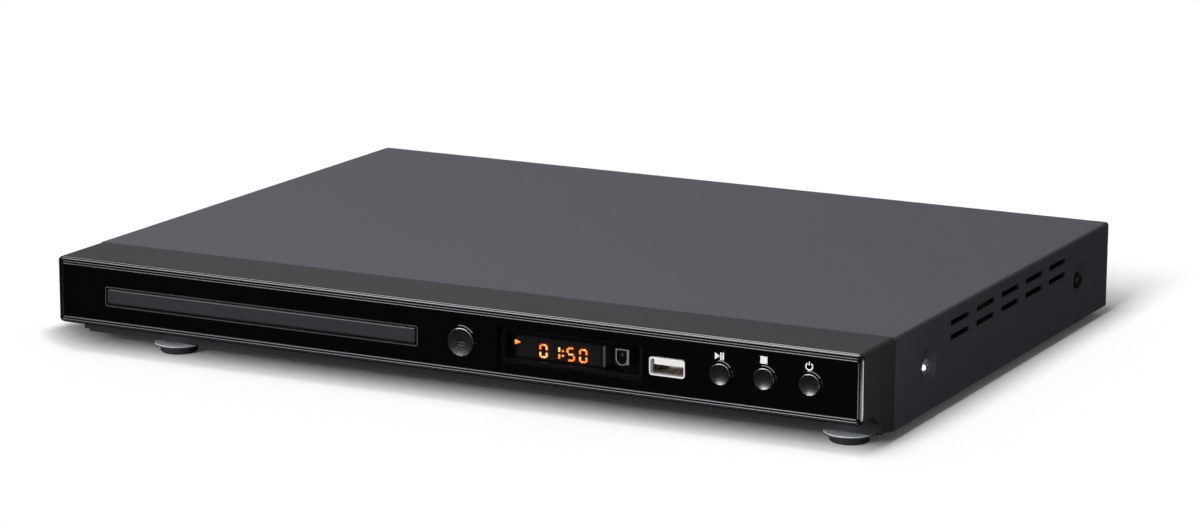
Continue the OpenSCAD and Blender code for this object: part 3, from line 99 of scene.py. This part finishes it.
def add_camera():
    yaw, pitch, roll = CAMERA_YAW, CAMERA_PITCH, CAMERA_ROLL
    forward = Vector(
        (-math.sin(yaw) * math.cos(pitch), math.cos(yaw) * math.cos(pitch), -math.sin(pitch))
    )
    right = Vector((math.cos(yaw), math.sin(yaw), 0.0))
    up = right.cross(forward)
    x_axis = math.cos(roll) * right + math.sin(roll) * up
    y_axis = -math.sin(roll) * right + math.cos(roll) * up
    turn = Matrix((x_axis, y_axis, -forward)).transposed().to_4x4()
    data = bpy.data.cameras.new("camera")
    data.sensor_width = 36.0
    data.lens = CAMERA_LENS
    data.clip_start = 0.05
    data.clip_end = 60.0
    camera = bpy.data.objects.new("camera", data)
    camera.matrix_world = Matrix.Translation(CAMERA_AT) @ turn
    bpy.context.scene.collection.objects.link(camera)
    bpy.context.scene.camera = camera


# ------------------------------------------------------------------ materials


class Graph:
    """A node material: its Principled shader, and short ways to add nodes."""

    def __init__(self, name):
        self.material = bpy.data.materials.new(name)
        self.material.use_nodes = True
        self.tree = self.material.node_tree
        self.tree.nodes.clear()
        output = self.tree.nodes.new("ShaderNodeOutputMaterial")
        self.shader = self.tree.nodes.new("ShaderNodeBsdfPrincipled")
        self.link(self.shader.outputs[0], output.inputs["Surface"])
        self.place = self.tree.nodes.new("ShaderNodeTexCoord").outputs["Object"]

    def link(self, a, b):
        self.tree.links.new(a, b)

    def put(self, socket, value):
        self.shader.inputs[socket].default_value = value

    def into(self, socket, source):
        self.link(source, self.shader.inputs[socket])

    def stretch(self, scale):
        node = self.tree.nodes.new("ShaderNodeMapping")
        node.inputs["Scale"].default_value = scale
        self.link(self.place, node.inputs["Vector"])
        return node.outputs[0]

    def noise(self, scale, detail=3.0, stretch=None):
        node = self.tree.nodes.new("ShaderNodeTexNoise")
        node.inputs["Scale"].default_value = scale
        node.inputs["Detail"].default_value = detail
        node.inputs["Roughness"].default_value = 0.55
        self.link(self.stretch(stretch) if stretch else self.place, node.inputs["Vector"])
        return node.outputs["Fac"]

    def math(self, kind, a, b=None):
        node = self.tree.nodes.new("ShaderNodeMath")
        node.operation = kind
        for i, v in enumerate((a, b)):
            if v is None:
                continue
            if isinstance(v, (int, float)):
                node.inputs[i].default_value = v
            else:
                self.link(v, node.inputs[i])
        return node.outputs[0]

    def remap(self, source, a, b, low=0.0, high=1.0, smooth=False):
        node = self.tree.nodes.new("ShaderNodeMapRange")
        if smooth:
            node.interpolation_type = "SMOOTHSTEP"
        for name, v in (("From Min", a), ("From Max", b), ("To Min", low), ("To Max", high)):
            node.inputs[name].default_value = v
        self.link(source, node.inputs["Value"])
        return node.outputs[0]

    def mix(self, factor, a, b):
        node = self.tree.nodes.new("ShaderNodeMix")
        node.data_type = "RGBA"
        self.link(factor, node.inputs["Factor"])
        for i, v in ((6, a), (7, b)):  # the colour sockets A and B
            if isinstance(v, tuple):
                node.inputs[i].default_value = (*v, 1.0)
            else:
                self.link(v, node.inputs[i])
        return node.outputs[2]

    def distance(self, a, b):
        """Length of the way given by its two sides."""
        square = self.math("ADD", self.math("MULTIPLY", a, a), self.math("MULTIPLY", b, b))
        return self.math("SQRT", square)

    def axes(self):
        """The place on the object, as X, Y and Z in metres."""
        node = self.tree.nodes.new("ShaderNodeSeparateXYZ")
        self.link(self.place, node.inputs[0])
        return node.outputs[0], node.outputs[1], node.outputs[2]

    def within(self, source, a, b, soft=0.1):
        """1 where a case millimetre value lies between a and b, 0 outside."""
        low = self.remap(source, (a - soft) * MM, (a + soft) * MM, smooth=True)
        high = self.remap(source, (b - soft) * MM, (b + soft) * MM, 1.0, 0.0, smooth=True)
        return self.math("MULTIPLY", low, high)

    def layer(self, a, b, soft=0.1):
        """1 between two depths behind the front face, 0 outside."""
        return self.within(self.axes()[1], FRONT_Y + a, FRONT_Y + b, soft)

    def bump(self, source, strength, distance):
        node = self.tree.nodes.new("ShaderNodeBump")
        node.inputs["Strength"].default_value = strength
        node.inputs["Distance"].default_value = distance
        self.link(source, node.inputs["Height"])
        self.into("Normal", node.outputs[0])


def tint(colour, by):
    return tuple(min(1.0, max(0.0, c * by)) for c in colour)


def surface(
    name,
    colour,
    rough,
    metal=0.0,
    spec=0.5,
    vary=0.12,
    cloud=60.0,
    grain=2600.0,
    relief=0.0,
    depth=0.00004,
    rough_by=0.08,
    stretch=None,
):
    """Moulded, painted or drawn surface: clouded colour, grained roughness, fine relief.

    With colour None the caller mixes its own.
    """
    g = Graph(name)
    if colour:
        low, high = tint(colour, 1 - vary), tint(colour, 1 + vary)
        g.into("Base Color", g.mix(g.noise(cloud), low, high))
    fine = g.noise(grain, 2.0, stretch)
    g.into("Roughness", g.remap(fine, 0.3, 0.7, max(0.02, rough - rough_by), rough + rough_by))
    g.put("Metallic", metal)
    g.put("Specular IOR Level", spec)
    if relief:
        g.bump(fine, relief, depth)
    return g


def glass(name, colour, rough, ior):
    g = Graph(name)
    g.put("Transmission Weight", 1.0)
    g.put("IOR", ior)
    smear = g.noise(90.0, 4.0)
    g.into("Base Color", g.mix(smear, tint(colour, 0.94), tint(colour, 1.06)))
    g.into("Roughness", g.remap(smear, 0.35, 0.7, rough * 0.5, rough * 1.5))
    return g


def smoked_sheet():
    """Thin dark acrylic: what lies behind shows through it, dimmed."""
    g = surface("window_smoked_acrylic", (0.002, 0.002, 0.0022), 0.05, spec=0.15, vary=0.2,
                cloud=25.0, grain=120.0, rough_by=0.03)
    g.put("Alpha", 0.25)
    return g


def housing_plastic():
    """Black moulding: its front faces are polished, its top and sides are satin; behind the panel
    it is painted near-black as shade.
    """
    g = Graph("housing_moulded_plastic_painted_shade")
    x, y, z = g.axes()
    behind = g.remap(y, setback(1.1), setback(1.5), smooth=True)
    cloud = g.noise(40.0)
    polished = g.mix(cloud, (0.0026, 0.0026, 0.003), (0.0034, 0.0034, 0.0039))
    satin = g.mix(cloud, (0.0235, 0.0228, 0.0258), (0.0285, 0.0275, 0.031))
    reach, bottom, top = 156.5, 14.5, 32.5  # what lies behind the panel is painted near-black, as painted shade
    inner = g.math("MULTIPLY", g.within(x, -reach, reach), g.within(z, bottom, top))
    # painted shade: within the panel's reach the satin colour gives way to near-black
    satin = g.mix(inner, satin, (0.002, 0.002, 0.0022))
    g.into("Base Color", g.mix(behind, polished, satin))
    fine = g.noise(3400.0, 2.0)
    grained = g.remap(fine, 0.3, 0.7, -0.03, 0.03)
    g.into("Roughness", g.math("ADD", g.remap(behind, 0.0, 1.0, 0.13, 0.36), grained))
    g.put("Specular IOR Level", 0.55)
    g.bump(fine, 0.04, 0.00002)
    return g


def circuit_board(name, colour):
    """Solder mask with tracks under it and tinned pads; near the front it is painted near-black as
    shade, with no pads.
    """
    g = surface(name, None, 0.32)
    track = g.tree.nodes.new("ShaderNodeTexBrick")
    track.inputs["Scale"].default_value = 90.0
    track.inputs["Mortar Size"].default_value = 0.035
    track.inputs["Color1"].default_value = (*tint(colour, 0.8), 1.0)
    track.inputs["Color2"].default_value = (*tint(colour, 1.25), 1.0)
    track.inputs["Mortar"].default_value = (*tint(colour, 2.2), 1.0)
    g.link(g.place, track.inputs["Vector"])
    pads = g.tree.nodes.new("ShaderNodeTexVoronoi")
    pads.inputs["Scale"].default_value = 260.0
    pads.inputs["Randomness"].default_value = 0.15
    g.link(g.place, pads.inputs["Vector"])
    # painted shade: near the front the board is painted near-black and its pads are left out
    front = g.layer(-5, 30)
    mask = g.mix(front, track.outputs["Color"], (0.0035, 0.0045, 0.004))
    pad = g.remap(pads.outputs["Distance"], 0.16, 0.2, 1.0, 0.0)
    pad = g.math("MULTIPLY", pad, g.remap(front, 0.0, 1.0, 1.0, 0.0))
    g.into("Base Color", g.mix(pad, mask, (0.62, 0.6, 0.55)))
    g.into("Metallic", g.math("MULTIPLY", pad, 0.8))
    return g


def display_module():
    """Black moulding whose right edge is painted grey behind the window, as a painted highlight of
    its lit side; towards the front the black is darker.
    """
    g = surface("module_black_painted_lit_side", None, 0.5, spec=0.12, relief=0.1)
    x, _, z = g.axes()
    left, right, bottom, top = 61.3, 62.8, 19.2, 26.6
    # painted highlight: the strip at the module's right edge is grey, as if lit
    end = g.math("MULTIPLY", g.within(x, left, right, 0.15), g.within(z, bottom, top))
    cloud = g.noise(300.0)
    front = g.layer(-5, 20)
    black = g.mix(cloud, (0.0096, 0.0096, 0.0104), (0.0144, 0.0144, 0.0156))
    black = g.mix(front, black, (0.0014, 0.0014, 0.0016))
    g.into("Base Color", g.mix(end, black, (0.2, 0.19, 0.18)))
    return g


def foot_flange():
    """Turned flange: its upper edge is painted bright as a highlight, its rim and its stem
    near-black as painted shade.
    """
    g = Graph("foot_anodised_painted_highlight")
    z = g.axes()[2]
    lines = g.noise(1.0, 4.0, (1200.0, 1200.0, 300.0))
    bright = g.mix(lines, (0.58, 0.63, 0.69), (0.75, 0.8, 0.88))
    bottom, top = 3.17, 3.43  # heights of the edge that is painted as a highlight
    edge = g.within(z, bottom, top, 0.02)
    # painted highlight: only the upper edge gets the bright colour, the rest is painted dark
    g.into("Base Color", g.mix(edge, (0.035, 0.036, 0.038), bright))
    g.into("Roughness", g.remap(lines, 0.3, 0.7, 0.35, 0.52))
    g.put("Metallic", 0.25)
    g.bump(lines, 0.12, 0.00003)
    return g


def usb_plate():
    """Nickel plate, painted near-white at the mouth of the USB shell as a painted reflection, and
    streaked dark brown behind it.
    """
    g = Graph("shell_nickel_painted_reflection")
    mouth = 2.9  # depth that is painted bright
    middle_y = 150  # behind this depth lies the rear socket's shell, which is bare metal
    lines = g.noise(1.0, 4.0, (500.0, 60.0, 900.0))
    bright = g.mix(lines, (0.88, 0.87, 0.86), (0.97, 0.96, 0.95))
    streak = g.remap(g.noise(1.0, 3.0, (700.0, 260.0, 700.0)), 0.4, 0.62)
    brown = g.mix(streak, (0.035, 0.024, 0.016), (0.4, 0.32, 0.24))
    deep = g.layer(mouth, 30, 0.5)
    # painted reflection: the mouth is near-white and barely metallic, so it shows bright under any
    # lamp
    g.into("Base Color", g.mix(deep, bright, brown))
    g.into("Roughness", g.remap(lines, 0.3, 0.7, 0.28, 0.42))
    rear = g.layer(middle_y, 260)
    g.into("Metallic", g.remap(rear, 0.0, 1.0, 0.12, 0.9))
    return g


def phono_sockets():
    """Black nylon bodies; at the rear nickel sleeves round coloured inserts."""
    g = Graph("socket_nylon")
    x, y, z = g.axes()
    insert_r, sleeve_r = 3.25, 4.3
    sleeve_y = 240.5  # depth from which the sleeves are nickel
    place = g.math("DIVIDE", g.math("SUBTRACT", x, JACK_EDGE * MM), JACK_PITCH * MM)
    off = g.math("SUBTRACT", g.math("FRACT", place), 0.5)
    dx = g.math("MULTIPLY", off, JACK_PITCH * MM)
    dz = g.math("SUBTRACT", z, JACK_Z * MM)
    away = g.distance(dx, dz)
    proud = g.remap(y, setback(sleeve_y), setback(sleeve_y + 0.1))
    outside = g.math("MULTIPLY", proud,
                     g.remap(away, sleeve_r * MM, (sleeve_r + 0.05) * MM, 1.0, 0.0))
    row = g.within(x, JACK_EDGE, JACK_EDGE + JACK_COUNT * JACK_PITCH)
    outside = g.math("MULTIPLY", outside, row)
    sleeve = g.remap(away, insert_r * MM, (insert_r + 0.1) * MM)
    insert = (0.75, 0.5, 0.02)
    for start, colour in ((1.0, (0.8, 0.79, 0.76)), (2.0, (0.6, 0.02, 0.02)),
                          (3.0, (0.75, 0.2, 0.02))):
        insert = g.mix(g.math("GREATER_THAN", place, start), insert, colour)
    lines = g.noise(1.0, 3.0, (900.0, 300.0, 900.0))
    nickel = g.mix(lines, (0.6, 0.6, 0.6), (0.78, 0.78, 0.77))
    cloud = g.noise(60.0)
    nylon = g.mix(cloud, (0.0176, 0.0176, 0.0185), (0.0224, 0.0224, 0.0235))
    g.into("Base Color", g.mix(outside, nylon, g.mix(sleeve, insert, nickel)))
    g.into("Roughness", g.remap(g.noise(2600.0, 2.0), 0.3, 0.7, 0.3, 0.5))
    g.into("Metallic", g.math("MULTIPLY", g.math("MULTIPLY", outside, sleeve), 0.85))
    return g


def receiver_cage():
    """Tinned cage: painted bright as a highlight round the opening, and painted near-black as shade
    elsewhere.
    """
    g = Graph("receiver_tin_cage_painted_light")
    x, _, z = g.axes()
    strip_r = 2.3
    bar_x, bar_z = (1.8, 3.0), (20.9, 27.0)  # from the receiver's middle, and heights
    dx = g.math("SUBTRACT", x, middle("ir_receiver")[0] * MM)
    dz = g.math("MINIMUM", g.math("SUBTRACT", z, RECEIVER_Z * MM), 0.0)
    away = g.distance(dx, dz)
    strip = g.remap(away, strip_r * MM, (strip_r + 0.1) * MM, 1.0, 0.0)
    bar = g.math("MULTIPLY", g.within(dx, *bar_x), g.within(z, *bar_z))
    face = g.layer(4.9, 5.35, 0.05)
    # painted highlight on the strip and the bar, painted shade on the rest of the cage
    lit = g.math("MULTIPLY", g.math("MAXIMUM", strip, bar), face)
    tin = g.mix(g.noise(700.0), (0.62, 0.56, 0.5), (0.85, 0.79, 0.72))
    g.into("Base Color", g.mix(lit, (0.006, 0.006, 0.006), tin))
    g.put("Roughness", 0.35)
    g.into("Metallic", g.math("MULTIPLY", lit, 0.2))
    return g


def lit_segments():
    """Amber segments with a bright core, in front of a black backing film."""
    g = Graph("lit_segments_amber")
    film = 5.1  # depth of the backing film
    lit = g.remap(g.axes()[1], setback(film - 0.05), setback(film), 1.0, 0.0)
    wave = g.noise(700.0, 1.0)
    glow = g.mix(g.remap(wave, 0.42, 0.62), (1.0, 0.2, 0.025), (1.0, 0.62, 0.24))
    g.into("Base Color", g.mix(lit, (0.0012, 0.0012, 0.0014), (0.3, 0.06, 0.01)))
    g.put("Roughness", 0.6)
    g.into("Emission Color", glow)
    g.into("Emission Strength", g.math("MULTIPLY", lit, 2.5))
    return g


def brushed(name, colour, rough, along):
    """Bare metal with fine lines along the axis of the smallest scale."""
    g = Graph(name)
    lines = g.noise(1.0, 4.0, along)
    g.into("Base Color", g.mix(lines, tint(colour, 0.86), tint(colour, 1.1)))
    g.into("Roughness", g.remap(lines, 0.3, 0.7, rough - 0.07, rough + 0.1))
    g.put("Metallic", 1.0)
    g.bump(lines, 0.12, 0.00003)
    return g


def make_materials():
    made = {}
    made["cover_paint"] = surface(
        "cover_powder_paint", (0.074, 0.0715, 0.092), 0.5, spec=0.35, vary=0.04, cloud=9.0,
        grain=2300.0, relief=0.12, depth=0.00003, rough_by=0.06)
    made["housing_plastic"] = housing_plastic()
    made["panel_gloss"] = surface(
        "panel_piano_gloss", (0.0016, 0.0016, 0.002), 0.05, spec=0.15, vary=0.2, cloud=25.0,
        grain=120.0, rough_by=0.03)
    made["window_smoke"] = smoked_sheet()
    made["bezel_grey"] = surface(
        "bezel_satin_grey", (0.06, 0.058, 0.06), 0.3, spec=0.5, vary=0.1, grain=2000.0)
    made["zinc_sheet"] = brushed("pan_zinc_plate", (0.5, 0.51, 0.53), 0.38, (60.0, 1400.0, 1400.0))
    made["rear_paint"] = surface(
        "rear_black_paint", (0.028, 0.028, 0.031), 0.45, spec=0.4, vary=0.06, grain=2300.0,
        relief=0.1, depth=0.00003)
    made["bright_screw"] = brushed("screw_nickel", (0.74, 0.74, 0.76), 0.22, (900.0, 900.0, 900.0))
    made["black_screw"] = surface(
        "screw_black_zinc", (0.02, 0.02, 0.022), 0.35, metal=0.6, vary=0.2, grain=3000.0)
    made["foot_metal"] = foot_flange()
    made["foot_rubber"] = surface(
        "foot_black_rubber", (0.022, 0.022, 0.023), 0.72, spec=0.3, vary=0.2, grain=1800.0,
        relief=0.25, depth=0.00006)
    made["board_green"] = circuit_board("board_green_mask_painted_shade", (0.012, 0.11, 0.035))
    made["board_brown"] = circuit_board("board_phenolic_painted_shade", (0.32, 0.19, 0.07))
    made["black_module"] = display_module()
    made["lit_segments"] = lit_segments()
    made["tin_plate"] = receiver_cage()
    made["switch_body"] = surface("switch_black", (0.03, 0.03, 0.032), 0.5, vary=0.15)
    made["nickel_shell"] = usb_plate()
    made["tray_plastic"] = surface(
        "tray_satin_abs", (0.02, 0.02, 0.022), 0.42, spec=0.45, vary=0.08, cloud=20.0,
        grain=2800.0, relief=0.14, depth=0.00003)
    made["door_plastic"] = surface(
        "door_satin_plastic", (0.021, 0.0205, 0.0245), 0.42, spec=0.4, vary=0.06, cloud=30.0,
        grain=2600.0, relief=0.08, depth=0.00002)
    made["chassis_plastic"] = surface(
        "chassis_black_abs", (0.026, 0.026, 0.028), 0.48, spec=0.4, vary=0.12, grain=2200.0,
        relief=0.15, depth=0.00004)
    made["acetal"] = surface(
        "acetal_natural", (0.85, 0.84, 0.8), 0.38, spec=0.5, vary=0.05, grain=1500.0,
        relief=0.05, depth=0.00002)
    made["motor_steel"] = brushed("motor_can", (0.56, 0.57, 0.59), 0.3, (200.0, 200.0, 2500.0))
    made["belt_rubber"] = surface("belt_rubber", (0.012, 0.012, 0.012), 0.6, spec=0.35, vary=0.2)
    made["rod_steel"] = brushed(
        "rod_ground_steel", (0.66, 0.66, 0.68), 0.14, (2500.0, 60.0, 2500.0))
    made["pad_rubber"] = surface("pad_rubber", (0.03, 0.03, 0.03), 0.75, spec=0.3, vary=0.2)
    made["lens_glass"] = glass("lens_coated", (0.45, 0.6, 0.95), 0.01, 1.52)
    made["brass_gear"] = brushed("pinion_brass", (0.7, 0.5, 0.2), 0.3, (900.0, 900.0, 900.0))
    made["chip_black"] = surface(
        "chip_epoxy", (0.016, 0.016, 0.017), 0.5, spec=0.4, vary=0.25, cloud=300.0, relief=0.2)
    made["socket_black"] = phono_sockets()
    made["transformer_tape"] = surface(
        "transformer_polyester_tape", (0.62, 0.46, 0.06), 0.3, vary=0.12, cloud=120.0,
        grain=600.0, stretch=(1.0, 1.0, 6.0), relief=0.2, depth=0.0001)
    made["can_sleeve"] = surface("capacitor_sleeve", (0.02, 0.035, 0.12), 0.25, vary=0.15)
    made["fin_aluminium"] = brushed("heat_sink_fins", (0.6, 0.62, 0.64), 0.35, (60.0, 60.0, 2600.0))
    made["ribbon_white"] = surface(
        "ribbon_flat_cable", (0.55, 0.55, 0.58), 0.4, vary=0.25, cloud=1.0, grain=700.0,
        stretch=(1.0, 0.02, 0.02), relief=0.4, depth=0.0001)
    made["button_gloss"] = surface(
        "button_black_satin", (0.004, 0.004, 0.005), 0.27, spec=0.7, vary=0.1, grain=1500.0,
        rough_by=0.04)
    made["bridge_steel"] = brushed(
        "bridge_zinc_plate", (0.5, 0.51, 0.53), 0.36, (1400.0, 60.0, 1400.0))
    return made


MATERIALS = make_materials()


def dress_frame():
    """Gives every CAD node the material of its slot."""
    slots = {s["node"]: s["material_slot"] for s in frame["record"]["subparts"]}
    for name, node in NODES.items():
        for used in node.material_slots:
            used.material = MATERIALS[slots[name]].material
    # the hollow faces shade smoothly across their middle
    for name in BUTTONS:
        data = NODES[name].data
        data.attributes.remove(data.attributes["custom_normal"])
        for face in data.polygons:
            face.use_smooth = True
        data.set_sharp_from_angle(angle=math.radians(28))


# ------------------------------------------------------------------ mesh pieces


def add_piece(name, bm, material, body):
    """Turns a bmesh in case millimetres into a piece that rides on a body."""
    bmesh.ops.recalc_face_normals(bm, faces=bm.faces)
    data = bpy.data.meshes.new(name)
    for v in bm.verts:
        v.co = point(*v.co)
    bm.to_mesh(data)
    bm.free()
    data.materials.append(material)
    piece = bpy.data.objects.new(name, data)
    bpy.context.scene.collection.objects.link(piece)
    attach(piece, body)


def prism(bm, outline, y0, y1, bevel):
    """Solid from an X-Z outline between two depths, its front edge bevelled."""
    count = len(outline)
    cx = sum(p[0] for p in outline) / count
    cz = sum(p[1] for p in outline) / count
    rings = []
    for y, inset in ((y1, 0.0), (y0 + bevel, 0.0), (y0, bevel)):
        ring = []
        for x, z in outline:
            d = math.hypot(x - cx, z - cz) or 1.0
            k = 1.0 - inset / d
            ring.append(bm.verts.new((cx + (x - cx) * k, y, cz + (z - cz) * k)))
        rings.append(ring)
    for a, b in zip(rings, rings[1:]):
        for i in range(count):
            bm.faces.new((a[i], a[(i + 1) % count], b[(i + 1) % count], b[i]))
    bm.faces.new(rings[0])
    bm.faces.new(rings[-1][::-1])


def printed(bm, outline):
    """One printed shape on the face of the gloss panel."""
    prism(bm, outline, PANEL_FACE - INK, PANEL_FACE + INK_SUNK, INK_EDGE)


def printed_bar(bm, x0, x1, z0, z1):
    printed(bm, [(x0, z0), (x1, z0), (x1, z1), (x0, z1)])


def play_mark(bm, x, z):
    """A triangle and two bars."""
    half, back, tip, bar = 1.3, 1.65, 0.15, 0.6
    printed(bm, [(x - back, z - half), (x + tip, z), (x - back, z + half)])
    for start in (0.3, 1.15):
        printed_bar(bm, x + start, x + start + bar, z - half, z + half)


def stop_mark(bm, x, z):
    """A square with its corners cut."""
    h, c = 1.28, 0.12
    printed(bm, [(x - h + c, z - h), (x + h - c, z - h), (x + h, z - h + c), (x + h, z + h - c),
                 (x + h - c, z + h), (x - h + c, z + h), (x - h, z + h - c), (x - h, z - h + c)])


def power_mark(bm, x, z):
    """A ring that is open at its top, with a bar in the gap."""
    inner, outer, gap, steps = 0.95, 1.45, math.radians(36), 28
    front, back = PANEL_FACE - INK, PANEL_FACE + INK_SUNK
    arc = [math.pi / 2 + gap + (2 * math.pi - 2 * gap) * i / steps for i in range(steps + 1)]
    ring = [[bm.verts.new((x + r * math.cos(a), y, z + r * math.sin(a)))
             for r, y in ((inner, front), (outer, front), (outer, back), (inner, back))]
            for a in arc]
    for a, b in zip(ring, ring[1:]):
        for j in range(4):
            bm.faces.new((a[j], a[(j + 1) % 4], b[(j + 1) % 4], b[j]))
    bm.faces.new(ring[0])
    bm.faces.new(ring[-1][::-1])
    printed_bar(bm, x - 0.22, x + 0.22, z + 0.35, z + 1.6)


def add_marks():
    """Printed pictograms over the buttons."""
    ink = surface("print_white_ink", (0.9, 0.9, 0.91), 0.5, spec=0.3, vary=0.03,
                  cloud=900.0).material
    for name, draw in (("play", play_mark), ("stop", stop_mark), ("power", power_mark)):
        x, z = middle(name + "_button")
        dx, dz = MARKS[name]
        bm = bmesh.new()
        draw(bm, x + dx, z + dz)
        add_piece(name + "_mark", bm, ink, "case")


# ------------------------------------------------------------------ stage


def add_floor():
    bm = bmesh.new()
    half = 6.0
    corners = [bm.verts.new((x, y, -0.0002)) for x, y in
               ((-half, -half), (half, -half), (half, half), (-half, half))]
    bm.faces.new(corners)
    data = bpy.data.meshes.new("floor")
    bm.to_mesh(data)
    bm.free()
    floor = bpy.data.objects.new("floor", data)
    bpy.context.scene.collection.objects.link(floor)
    material = bpy.data.materials.new("floor_white_paper")
    material.use_nodes = True
    tree = material.node_tree
    tree.nodes.clear()
    out = tree.nodes.new("ShaderNodeOutputMaterial")
    add = tree.nodes.new("ShaderNodeAddShader")
    diffuse = tree.nodes.new("ShaderNodeBsdfDiffuse")
    glow = tree.nodes.new("ShaderNodeEmission")
    path = tree.nodes.new("ShaderNodeLightPath")
    bounce = tree.nodes.new("ShaderNodeMapRange")
    bounce.inputs["To Min"].default_value = FLOOR_BOUNCE
    bounce.inputs["To Max"].default_value = FLOOR_GLOSS
    tree.links.new(path.outputs["Is Glossy Ray"], bounce.inputs["Value"])
    shown = tree.nodes.new("ShaderNodeMapRange")
    shown.inputs["To Max"].default_value = FLOOR_SHOWN
    tree.links.new(path.outputs["Is Camera Ray"], shown.inputs["Value"])
    tree.links.new(bounce.outputs[0], shown.inputs["To Min"])
    tree.links.new(shown.outputs[0], diffuse.inputs["Color"])
    lift = tree.nodes.new("ShaderNodeMath")
    lift.operation = "MULTIPLY"
    lift.inputs[1].default_value = FLOOR_LIFT
    tree.links.new(path.outputs["Is Camera Ray"], lift.inputs[0])
    tree.links.new(lift.outputs[0], glow.inputs["Strength"])
    tree.links.new(diffuse.outputs[0], add.inputs[0])
    tree.links.new(glow.outputs[0], add.inputs[1])
    tree.links.new(add.outputs[0], out.inputs["Surface"])
    data.materials.append(material)


def add_flag():
    """Unseen flag that carries the floor's soft shadow past the left end of the case."""
    bm = bmesh.new()
    bm.faces.new([bm.verts.new(point(x, y, FLAG_Z)) for x, y in
                  ((-160, 1), (-160, 46), (-173, 42), (-183, 33), (-186, 22), (-179, 12),
                   (-169, 5))])
    data = bpy.data.meshes.new("flag")
    bm.to_mesh(data)
    bm.free()
    flag = bpy.data.objects.new("flag", data)
    bpy.context.scene.collection.objects.link(flag)
    for kind in ("camera", "glossy", "transmission"):
        setattr(flag, "visible_" + kind, False)


def add_world():
    world = bpy.data.worlds.new("studio")
    bpy.context.scene.world = world
    world.use_nodes = True
    tree = world.node_tree
    tree.nodes.clear()
    out = tree.nodes.new("ShaderNodeOutputWorld")
    back = tree.nodes.new("ShaderNodeBackground")
    path = tree.nodes.new("ShaderNodeLightPath")
    tree.links.new(back.outputs[0], out.inputs["Surface"])
    total = None
    for name, level in (("Is Camera Ray", SKY_SHOWN), ("Is Glossy Ray", SKY_GLOSS),
                        ("Is Transmission Ray", SKY_GLOSS), ("Is Diffuse Ray", SKY_FILL)):
        part = tree.nodes.new("ShaderNodeMath")
        part.operation = "MULTIPLY"
        part.inputs[1].default_value = level
        tree.links.new(path.outputs[name], part.inputs[0])
        if total is None:
            total = part.outputs[0]
        else:
            most = tree.nodes.new("ShaderNodeMath")
            most.operation = "MAXIMUM"
            tree.links.new(total, most.inputs[0])
            tree.links.new(part.outputs[0], most.inputs[1])
            total = most.outputs[0]
    tree.links.new(total, back.inputs["Strength"])


def link_group(name, state, *things):
    """A lamp's linking group: what it lights alone, or what is left out of its light."""
    group = bpy.data.collections.new(name)
    for thing in things:
        group.objects.link(thing)
    for entry in group.collection_objects:
        entry.light_linking.link_state = state
    return group


def add_light(name, kind, place, aim, power, size=(1.0, 1.0), angle=0.0,
              colour=(1.0, 1.0, 1.0), group=None, diffuse=True, glossy=True):
    data = bpy.data.lights.new(name, kind)
    data.energy = power
    data.color = colour
    if kind == "AREA":
        data.shape = "RECTANGLE"
        data.size, data.size_y = size
    else:
        data.angle = math.radians(angle)
    lamp = bpy.data.objects.new(name, data)
    lamp.location = place
    lamp.rotation_euler = (Vector(aim) - Vector(place)).to_track_quat("-Z", "Y").to_euler()
    bpy.context.scene.collection.objects.link(lamp)
    lamp.visible_camera = False
    lamp.visible_diffuse = diffuse
    lamp.visible_glossy = glossy
    if group:
        lamp.light_linking.receiver_collection = group


def add_gloss(name, place, aim, power, size, group):
    """A cool soft box that shows in the object's gloss alone."""
    add_light(name, "AREA", place, aim, power, size, colour=COOL, group=group, diffuse=False)


def add_strip(name, x, y, power, size, group):
    """One that lies on the floor beside the case and faces up."""
    add_gloss(name, (x, y, 0.001), (x, y, 1.0), power, size, group)


def add_lights():
    ground = bpy.data.objects["floor"]
    only = link_group("floor_only", "INCLUDE", ground, NODES["foot_flanges"])
    without = link_group("all_but_floor", "EXCLUDE", ground)
    buttons = [NODES[n] for n in BUTTONS]
    rings = link_group("rings_only", "INCLUDE", NODES["fascia_panel"], *buttons)
    dishes = link_group("buttons_only", "INCLUDE", *buttons)
    for name, tilt, spread, level in (("floor_high", 25, 30, 1.05), ("floor_mid", 50, 20, 0.9),
                                      ("floor_low", 64, 14, 0.7)):
        tilt = math.radians(tilt)
        add_light(name, "SUN", (-0.11 * math.cos(tilt), -math.sin(tilt), math.cos(tilt)),
                  (0, 0, 0), level / math.cos(tilt), angle=spread, group=only)
    add_light("object_key", "AREA", (-0.9, 0.75, 2.2), (0, 0, 0), 48.0, (1.6, 1.6),
              group=without)
    add_gloss("front_softbox", (-0.78, -1.5, 1.1), (0, 0, 1.1), 42.0, (0.9, 1.5), without)
    add_light("side_softbox", "AREA", (1.14, -0.36, 0.22), (0, 0, 0.22), 1.0, (0.35, 0.4),
              group=without)
    add_light("front_fill", "AREA", (-0.5, -2.2, 0.4), (0, 0, 0), 40.0, (1.0, 0.6),
              group=without, glossy=False)
    add_strip("right_strip", 0.26, -0.115, 0.22, (0.11, 0.052), without)
    add_strip("near_strip", 0.245, -0.175, 0.16, (0.13, 0.07), without)
    add_gloss("high_softbox", (0.0, -0.95, 1.45), (0, -0.1, 0), 20.0, (1.3, 0.5), without)
    add_gloss("dish_softbox", (-0.78, -1.5, 1.2), (0.1, -0.12, 0.02), 70.0, (0.9, 1.3), dishes)
    add_gloss("ring_softbox", (0.12, -0.36, 1.0), (0.12, -0.12, 0.02), 78.0, (2.6, 0.6), rings)
    add_strip("left_strip", -0.254, -0.09, 0.14, (0.11, 0.1), without)


add_camera()
dress_frame()
add_marks()
add_floor()
add_flag()
add_world()
add_lights()

scene = bpy.context.scene
scene.view_settings.view_transform = "Standard"
